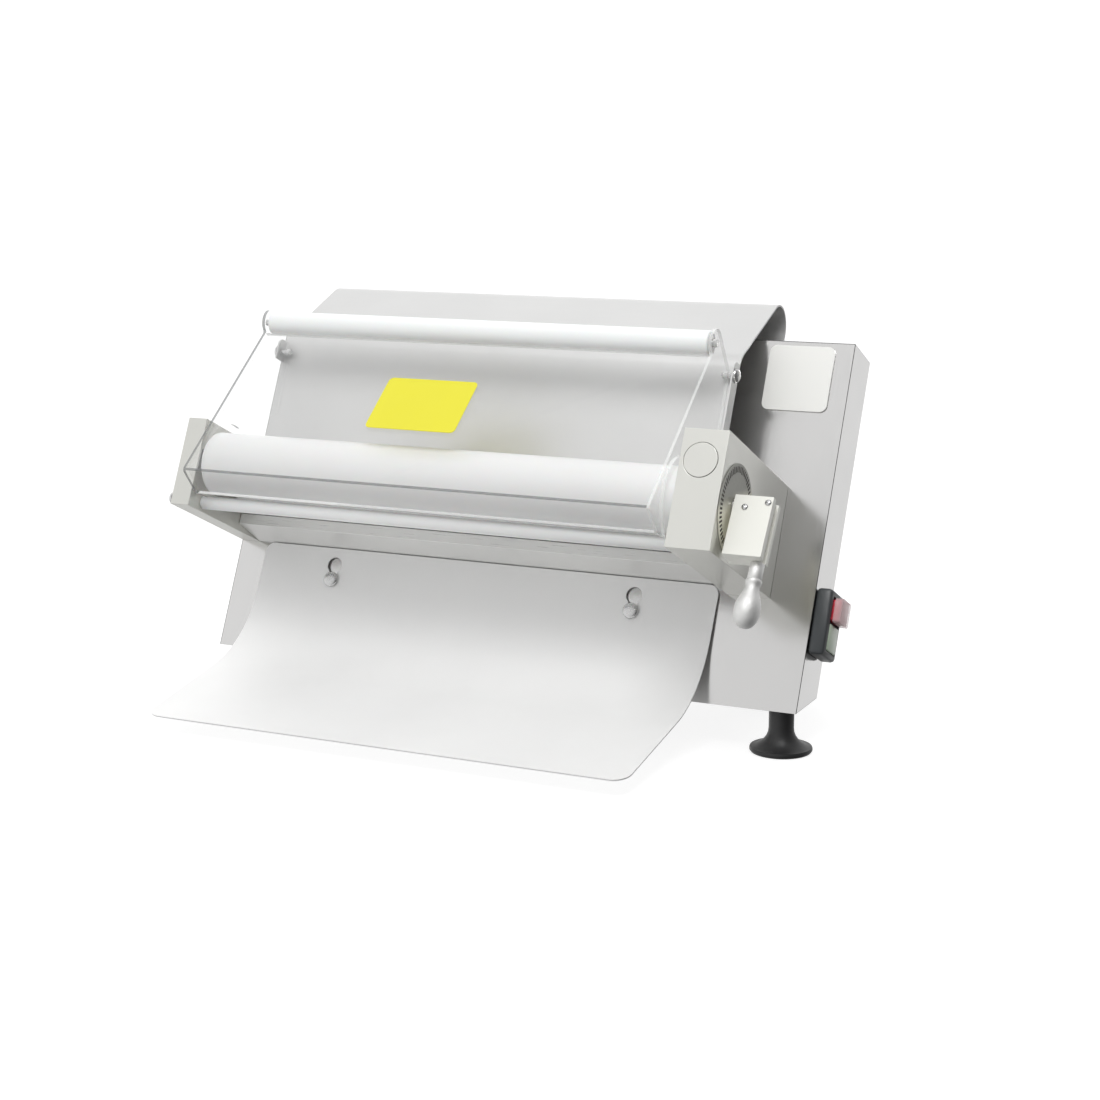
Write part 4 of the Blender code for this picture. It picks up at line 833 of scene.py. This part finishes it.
def pin(node, x):
    """A round-headed pin with a softly crowned, rimmed head."""
    under = TRAY_BEND_START[0] + FIT
    head = under + PIN_HEAD
    profile = [(0.0, head), (0.0030, head - 0.0001), (0.0050, head - 0.0003), (0.0062, head - 0.0008),
               (0.0069, head - 0.0016), (PIN_RADIUS, head - 0.0022), (PIN_RADIUS, under),
               (PIN_SHANK, under), (PIN_SHANK, FIT), (0.0, FIT)]
    at = placed(x, 0.0, TRAY_PIN_V, FORWARD)
    show(node + "_turned", turned_mesh(node, profile, 56), at, MACHINED, node, SHARP_TURNED)


# Guard ------------------------------------------------------------------------------------------
GUARD_WALL = 0.003
GUARD_TOP = (0.093, 0.273)
GUARD_CORNER = (0.169, 0.121)
GUARD_LIP = 0.030
GUARD_BEND = 0.004
WALL_FOOT = (0.125, 0.109)         # where the wall's lower edge leaves the lip
WALL_HEEL_V = 0.212                # where the wall's rear edge ends above the notch
NOTCH_RADIUS = 0.036
NOTCH_START, NOTCH_END = math.radians(-55), math.radians(100)
PIVOT_CORNER_RADIUS = 0.005
EAR_RADIUS = 0.012
EAR_END = math.radians(-58)
AXLE_HOLE = 0.0033
WALL_INSET = 0.0002                # walls stop this far inside the sheet's outline
GUARD_SEAM = 0.0024                # how much of each wall's edge shows beside the front sheet


def guard_directions():
    """Unit (u, v) directions: down the front sheet, and square to it towards the back."""
    down = (Vector(GUARD_CORNER) - Vector(GUARD_TOP)).normalized()
    return down, Vector((down.y, -down.x))


def guard_bend(inset, steps):
    """The bend between the front sheet and the lip, moved in from its outer side."""
    down, back = guard_directions()
    inner = Vector(GUARD_CORNER) + GUARD_BEND * (back - down)
    start = math.atan2(-back.y, -back.x)
    return arc(inner, GUARD_BEND - inset, start, start - math.pi / 2, steps)


def guard_side_outline():
    """Side wall of the guard."""
    down, back = guard_directions()
    points = [tuple(Vector(GUARD_TOP) + WALL_INSET * (back + down)), *guard_bend(WALL_INSET, 8)]
    lip_end = Vector(GUARD_CORNER) + (GUARD_LIP - WALL_INSET) * back - WALL_INSET * down
    points += [tuple(lip_end), WALL_FOOT]
    points += arc(FRONT_ROLLER, NOTCH_RADIUS, NOTCH_START, NOTCH_END, 40)
    points.append((GUARD_PIVOT[0] - PIVOT_CORNER_RADIUS, WALL_HEEL_V))
    across = Vector(GUARD_ROLLER) - Vector(GUARD_PIVOT)
    turn = math.acos((PIVOT_CORNER_RADIUS - EAR_RADIUS) / across.length)
    tangent = math.atan2(across.y, across.x) + turn
    points += arc(GUARD_PIVOT, PIVOT_CORNER_RADIUS, math.pi, tangent, 8)
    points += arc(GUARD_ROLLER, EAR_RADIUS, tangent, EAR_END, 24)
    return points


def guard():
    """Clear guard: smooth bend, side walls, and denser cut edges in painted shade and painted
    highlights.
    """
    _, back = guard_directions()
    profile = [GUARD_TOP, *guard_bend(0.0, 14), tuple(Vector(GUARD_CORNER) + GUARD_LIP * back)]
    left, right = node_x("guard")
    rows = [(left + GUARD_SEAM, right - GUARD_SEAM, u, v) for u, v in profile]
    piece = show("guard_clear", ribbon_mesh("guard", rows), PANEL, CLEAR, "guard", SHARP_SHEET)
    solidify(piece, GUARD_WALL, BEHIND)
    apply_modifiers(piece)
    holes = [circle(PIVOT_HOLE, GUARD_PIVOT, 24), circle(AXLE_HOLE, GUARD_ROLLER, 24)]
    for x in ((left, left + GUARD_WALL), (right - GUARD_WALL, right)):
        boolean(piece, plate_mesh("guard_wall", guard_side_outline(), x, holes), "UNION")
    smooth(piece.data, SHARP_SHEET)
    mark_edges(piece)


SIDEWAYS = 0.9                     # a face whose normal is nearer to x than this is a wall's side
FACES_FRONT = -0.3                 # a face whose normal's y is below this looks forward
BEND_STRIP = 0.0007                # strips of the bend are narrower than this
BEND_FOOT = (0.35, 0.75)           # how far they look down the sheet, at the foot of the bend
RIM_MARGIN = 0.15                  # how near to the wall's thickness a rim's width is


def mark_edges(piece):
    """Give the cut edges and the foot of the bend denser materials: painted shade on the left wall's
    front-facing rims and the bend's foot, painted highlights on the right wall's rims and the sheet's
    rims.
    """
    painted_dark_edge, painted_bright_edge = 1, 2
    for material in (PAINTED_DARK_EDGE, PAINTED_BRIGHT_EDGE):
        piece.data.materials.append(material)
    down, _ = guard_directions()
    downwards = PANEL.to_3x3() @ Vector((0.0, -down.x, down.y))
    points = piece.data.vertices
    for face in piece.data.polygons:
        across = [points[index].co.x for index in face.vertices]
        length = max(across) - min(across)
        if length < 2 * GUARD_WALL:
            on_right = across[0] > ORIGIN.x
            if abs(face.normal.x) < SIDEWAYS and (on_right or face.normal.y < FACES_FRONT):
                face.material_index = painted_bright_edge if on_right else painted_dark_edge
            continue
        width = face.area / length
        if width < BEND_STRIP and BEND_FOOT[0] < face.normal.dot(downwards) < BEND_FOOT[1]:
            face.material_index = painted_dark_edge
        elif abs(width / GUARD_WALL - 1.0) < RIM_MARGIN:
            face.material_index = painted_bright_edge


LABEL_X = (-0.0910, -0.0055)
LABEL_DOWN = (0.0470, 0.1067)
LABEL_CORNER = 0.0045


def label():
    """Plain yellow film with round corners, on the front sheet."""
    down, _ = guard_directions()
    width = LABEL_X[1] - LABEL_X[0]
    length = LABEL_DOWN[1] - LABEL_DOWN[0]
    outline = rounded_rectangle((0.0, 0.0), width, length, LABEL_CORNER)
    film = face_plate_mesh("guard_label", outline, (FIT, 2 * FIT))
    middle = Vector(GUARD_TOP) + down * sum(LABEL_DOWN) / 2
    lean = Matrix.Rotation(-math.atan2(down.x, -down.y), 4, "X")
    at = placed(sum(LABEL_X) / 2, middle.x, middle.y, lean)
    show("guard_label_film", film, at, YELLOW_FILM, "guard_label", SHARP_FLAT)


PIVOT_DOME = ((0.0, 0.0042), (0.0018, 0.0041), (0.0034, 0.0037), (0.0048, 0.0030), (0.0058, 0.0020),
              (0.0062, 0.0011), (0.0062, FIT))
PIVOT_SHANK = 0.0028


def pivot_bolts():
    """Dome-headed bolts on the outer sides of the chute's flanges."""
    left, right = node_x("feed_chute")
    for node, flange, turn in (("guard_pivot_bolt_left", left, TO_LEFT),
                               ("guard_pivot_bolt_right", right, TO_RIGHT)):
        low, high = node_x(node)
        reach = (high - low) - PIVOT_DOME[0][1]
        profile = [*PIVOT_DOME, (PIVOT_SHANK, FIT), (PIVOT_SHANK, -reach), (0.0, -reach)]
        at = placed(flange, *GUARD_PIVOT, turn)
        show(node + "_turned", turned_mesh(node, profile, 40), at, MACHINED, node, SHARP_DOMED)


# Gap adjuster -----------------------------------------------------------------------------------
DIAL_RADIUS = 0.0375
DIAL_BORE = 0.0063
PRINT = 0.00008                    # thickness of what is printed on the disc
MARKS = 60
MARK_RADIUS = 0.0328
MARK_WIDTH = 0.0018
MARK_LENGTH = 0.0048
LONG_MARK_LENGTH = 0.0060          # every fifth mark


def dial():
    """Round scale: a disc and a ring of short dark marks."""
    low, high = node_x("gap_dial")
    bore = circle(DIAL_BORE, DIAL_AXIS, 32)
    disc = plate_mesh("gap_dial", circle(DIAL_RADIUS, DIAL_AXIS, 96), (low, high - PRINT), [bore])
    # the disc's colour is painted reflection, pale below and dark above
    show("dial_disc", disc, PANEL, DIAL_PAINTED_REFLECTION, "gap_dial", SHARP_FLAT)
    marks = bmesh.new()
    centre = Matrix.Translation(DIAL_CENTRE + Vector((high - PRINT / 2, 0.0, 0.0)))
    outwards = Matrix.Translation((0.0, 0.0, MARK_RADIUS))
    for index in range(MARKS):
        length = LONG_MARK_LENGTH if index % 5 == 0 else MARK_LENGTH
        turn = Matrix.Rotation(2 * math.pi * index / MARKS, 4, "X")
        add_block(marks, (PRINT, MARK_WIDTH, length), centre @ turn @ outwards)
    show("dial_marks", mesh_from(marks, "dial_marks"), PANEL, DARK_INK, "gap_dial", extra=True)


BLOCK_X = (0.246, 0.278)
BLOCK_DEPTH = (-0.0034, 0.0166)
BLOCK_RISE = (-0.044, 0.0072)
BLOCK_EDGE = 0.0007
COVER = 0.0060                     # thickness of the front plate
COVER_EDGE = 0.0005
BACK_PLATE = 0.0050
STEP_IN = 0.0022                   # how far the middle of the block is set in on its outer side
SEAM = 0.00015
SCREW_PLACES = (("block_screw_inner", 0.256, -0.0032), ("block_screw_outer", 0.2742, 0.002))
STEM_X = 0.272
STEM_FORWARD = 0.003
STEM_FOOT = -0.0580
BAR_RADIUS = 0.00575               # radius of the stem
COLLAR = 0.0066                    # radius of the handle's collar
PEAR = ((0.0062, -0.0618), (BAR_RADIUS, -0.0632), (0.0057, -0.0645), (0.0060, -0.0665),
        (0.0067, -0.0688), (0.0077, -0.0715), (0.0088, -0.0742), (0.0097, -0.0770), (0.0103, -0.0797),
        (0.0105, -0.0825), (0.0104, -0.0852), (0.0100, -0.0879), (0.0093, -0.0905), (0.0082, -0.0930),
        (0.0067, -0.0953), (0.0047, -0.0970), (0.0024, -0.0979), (0.0, -0.0982))


def lever_block():
    """Block with its cover plate and crossed screws."""
    seam = BLOCK_DEPTH[1] - COVER
    back = BLOCK_DEPTH[0] + BACK_PLATE
    body = box_mesh("lever_block", (BLOCK_X, (BLOCK_DEPTH[0], back), BLOCK_RISE),
                    ((BLOCK_X[0], BLOCK_X[1] - STEP_IN), (back + SEAM, seam - SEAM), BLOCK_RISE))
    bevel(show("lever_block_body", body, LEVER, BLOCK_ENAMEL, "lever_block"), BLOCK_EDGE)
    cover = box_mesh("lever_block_cover", (BLOCK_X, (seam, BLOCK_DEPTH[1]), BLOCK_RISE))
    bevel(show("lever_block_cover", cover, LEVER, BLOCK_ENAMEL, "lever_block", extra=True), COVER_EDGE)
    for node, x, v in SCREW_PLACES:
        screw(node, x, v)


def lever_handle():
    """The stem and the cast pear-shaped handle."""
    at = LEVER @ Matrix.Translation((STEM_X, -STEM_FORWARD, 0.0))
    top = BLOCK_RISE[0] - FIT
    stem = [(0.0, top), (0.0054, top), (BAR_RADIUS, top - 0.0004), (BAR_RADIUS, STEM_FOOT + 0.0003),
            (0.0055, STEM_FOOT), (0.0, STEM_FOOT)]
    bar = turned_mesh("lever_stem", stem, 48)
    show("lever_stem_bar", bar, at, ALUMINIUM, "lever_stem", SHARP_TURNED)
    top = STEM_FOOT - FIT
    pear = turned_mesh("lever_handle", [(0.0, top), (0.0062, top), (COLLAR, STEM_FOOT - 0.0008),
                                        (COLLAR, -0.0605), *PEAR], 56)
    show("lever_handle_pear", pear, at, ALUMINIUM, "lever_handle", SHARP_ROUND)


SCREW_TOP = 0.0013
SCREW_DOME = ((0.0, SCREW_TOP), (0.0012, 0.0012), (0.0020, 0.0009), (0.0026, 0.0004), (0.0026, FIT),
              (0.0, FIT))
RECESS_LENGTH, RECESS_WIDTH, RECESS_DEPTH = 0.0028, 0.0006, 0.0012
RECESS_TURN = 0.5


def screw(node, x, v):
    """A small dome-headed screw with a cross recess."""
    at = LEVER @ Matrix.Translation((x, -BLOCK_DEPTH[1], v)) @ FORWARD
    head = turned_mesh(node, SCREW_DOME, 32)
    piece = show(node + "_head", head, at, MACHINED, node, SHARP_TURNED)
    for size in ((RECESS_LENGTH, RECESS_WIDTH), (RECESS_WIDTH, RECESS_LENGTH)):
        recess = bmesh.new()
        add_block(recess, (*size, RECESS_DEPTH), Matrix.Translation((0.0, 0.0, SCREW_TOP)))
        turn = Matrix.Rotation(RECESS_TURN, 4, "Z")
        boolean(piece, mesh_from(recess, "recess"), "DIFFERENCE", at @ turn)


# Switch -----------------------------------------------------------------------------------------
SWITCH_EDGE = 0.0006


def switch():
    """Switch box with a rounded case, its two buttons and the clear cap."""
    soften("switch_box", DARK_PLASTIC, SWITCH_EDGE, 2)
    soften("stop_button", RED_PLASTIC, SWITCH_EDGE)
    soften("start_button", GREEN_PLASTIC, SWITCH_EDGE)
    soften("stop_button_cap", CAP_CLEAR, SWITCH_EDGE)


# Stage ------------------------------------------------------------------------------------------
WHITE = (1.0, 1.0, 1.0, 1.0)
FLOOR_SIZE = 6.0
FLOOR_GREY = (0.32, 0.32, 0.32)
FLOOR_GLOW = 0.82


def stage():
    """Pale floor that takes a faint shadow and throws no light back under the machine."""
    mesh = bpy.data.meshes.new("floor")
    bm = bmesh.new()
    bmesh.ops.create_grid(bm, x_segments=1, y_segments=1, size=FLOOR_SIZE)
    bm.to_mesh(mesh)
    bm.free()
    floor = bpy.data.objects.new("floor", mesh)
    bpy.context.scene.collection.objects.link(floor)
    floor.visible_diffuse = False
    floor.visible_glossy = False
    pale = Shader("floor_white", FLOOR_GREY, 0.9, Emission_Strength=FLOOR_GLOW)
    pale.bsdf.inputs["Emission Color"].default_value = WHITE
    mesh.materials.append(pale.material)


# Light strengths seen by the machine; the camera sees plain white behind it.
BACK_LIGHT = 1.22
FRONT_LIGHT = 0.76
LEFT_GAIN = 0.16
RIGHT_LOSS = -0.62
BELOW_LIGHT = 0.52
BACKDROP = 1.1
# Ranges of a direction's components over which the strengths change.
FRONT_TO_BACK = (-0.15, 0.80)
LEFT_TO_RIGHT = (-0.6, 0.9)
BELOW_TO_LEVEL = (-0.65, -0.20)


def combine(tree, operation, first, second):
    """Join two values by arithmetic."""
    node = tree.nodes.new("ShaderNodeMath")
    node.operation = operation
    tree.links.new(first, node.inputs[0])
    tree.links.new(second, node.inputs[1])
    return node.outputs["Value"]


def world():
    """A white studio: brighter behind and on the left, dimmer in front on the right and below."""
    surround = bpy.data.worlds.new("studio")
    surround.use_nodes = True
    bpy.context.scene.world = surround
    tree = surround.node_tree
    tree.nodes.clear()
    place = tree.nodes.new("ShaderNodeTexCoord")
    split = tree.nodes.new("ShaderNodeSeparateXYZ")
    tree.links.new(place.outputs["Generated"], split.inputs["Vector"])
    depth = map_range(tree, split.outputs["Y"], FRONT_TO_BACK, (FRONT_LIGHT, BACK_LIGHT), soft=True)
    side = map_range(tree, split.outputs["X"], LEFT_TO_RIGHT, (LEFT_GAIN, RIGHT_LOSS), soft=True)
    height = map_range(tree, split.outputs["Z"], BELOW_TO_LEVEL, (BELOW_LIGHT, 1.0), soft=True)
    strength = combine(tree, "MULTIPLY", combine(tree, "ADD", depth, side), height)
    light = tree.nodes.new("ShaderNodeBackground")
    tree.links.new(strength, light.inputs["Strength"])
    white = tree.nodes.new("ShaderNodeBackground")
    white.inputs["Strength"].default_value = BACKDROP
    for background in (light, white):
        background.inputs["Color"].default_value = WHITE
    path = tree.nodes.new("ShaderNodeLightPath")
    mix = tree.nodes.new("ShaderNodeMixShader")
    out = tree.nodes.new("ShaderNodeOutputWorld")
    tree.links.new(path.outputs["Is Camera Ray"], mix.inputs["Fac"])
    tree.links.new(light.outputs["Background"], mix.inputs[1])
    tree.links.new(white.outputs["Background"], mix.inputs[2])
    tree.links.new(mix.outputs["Shader"], out.inputs["Surface"])


KEY_AT = Vector((0.45, -1.00, 1.9))
KEY_AIM = Vector((0.0, 0.0, 0.2))
KEY_SIZE = (1.0, 0.8)
KEY_POWER = 20.0


def key_light():
    """A large soft light from the front right and above."""
    data = bpy.data.lights.new("key", "AREA")
    data.shape = "RECTANGLE"
    data.size, data.size_y = KEY_SIZE
    data.energy = KEY_POWER
    light = bpy.data.objects.new("key", data)
    light.location = KEY_AT
    light.rotation_euler = (KEY_AIM - KEY_AT).to_track_quat("-Z", "Y").to_euler()
    bpy.context.scene.collection.objects.link(light)


SENSOR = 36.0
FOCAL = 69.68618                   # lens in millimetres for the fitted field of view
CLIP_END = 30.0
CAMERA_AT = Vector((0.81366, -1.60188, 0.47446))
CAMERA_YAW = math.radians(25.252)
CAMERA_PITCH = math.radians(11.385)


def camera():
    """The camera at the reference viewing angle; its place is measured from the housing's edge."""
    data = bpy.data.cameras.new("camera")
    data.lens = FOCAL
    data.sensor_width = SENSOR
    data.clip_end = CLIP_END
    data.dof.use_dof = False
    eye = bpy.data.objects.new("camera", data)
    eye.location = ORIGIN + CAMERA_AT
    eye.rotation_euler = (math.pi / 2 - CAMERA_PITCH, 0.0, CAMERA_YAW)
    bpy.context.scene.collection.objects.link(eye)
    bpy.context.scene.camera = eye


housing()
feet()
badge()
arms()
rollers()
feed_chute()
cross_member()
tray()
guard()
label()
pivot_bolts()
dial()
lever_block()
lever_handle()
switch()
stage()
world()
key_light()
camera()
bpy.context.scene.view_settings.view_transform = "Standard"
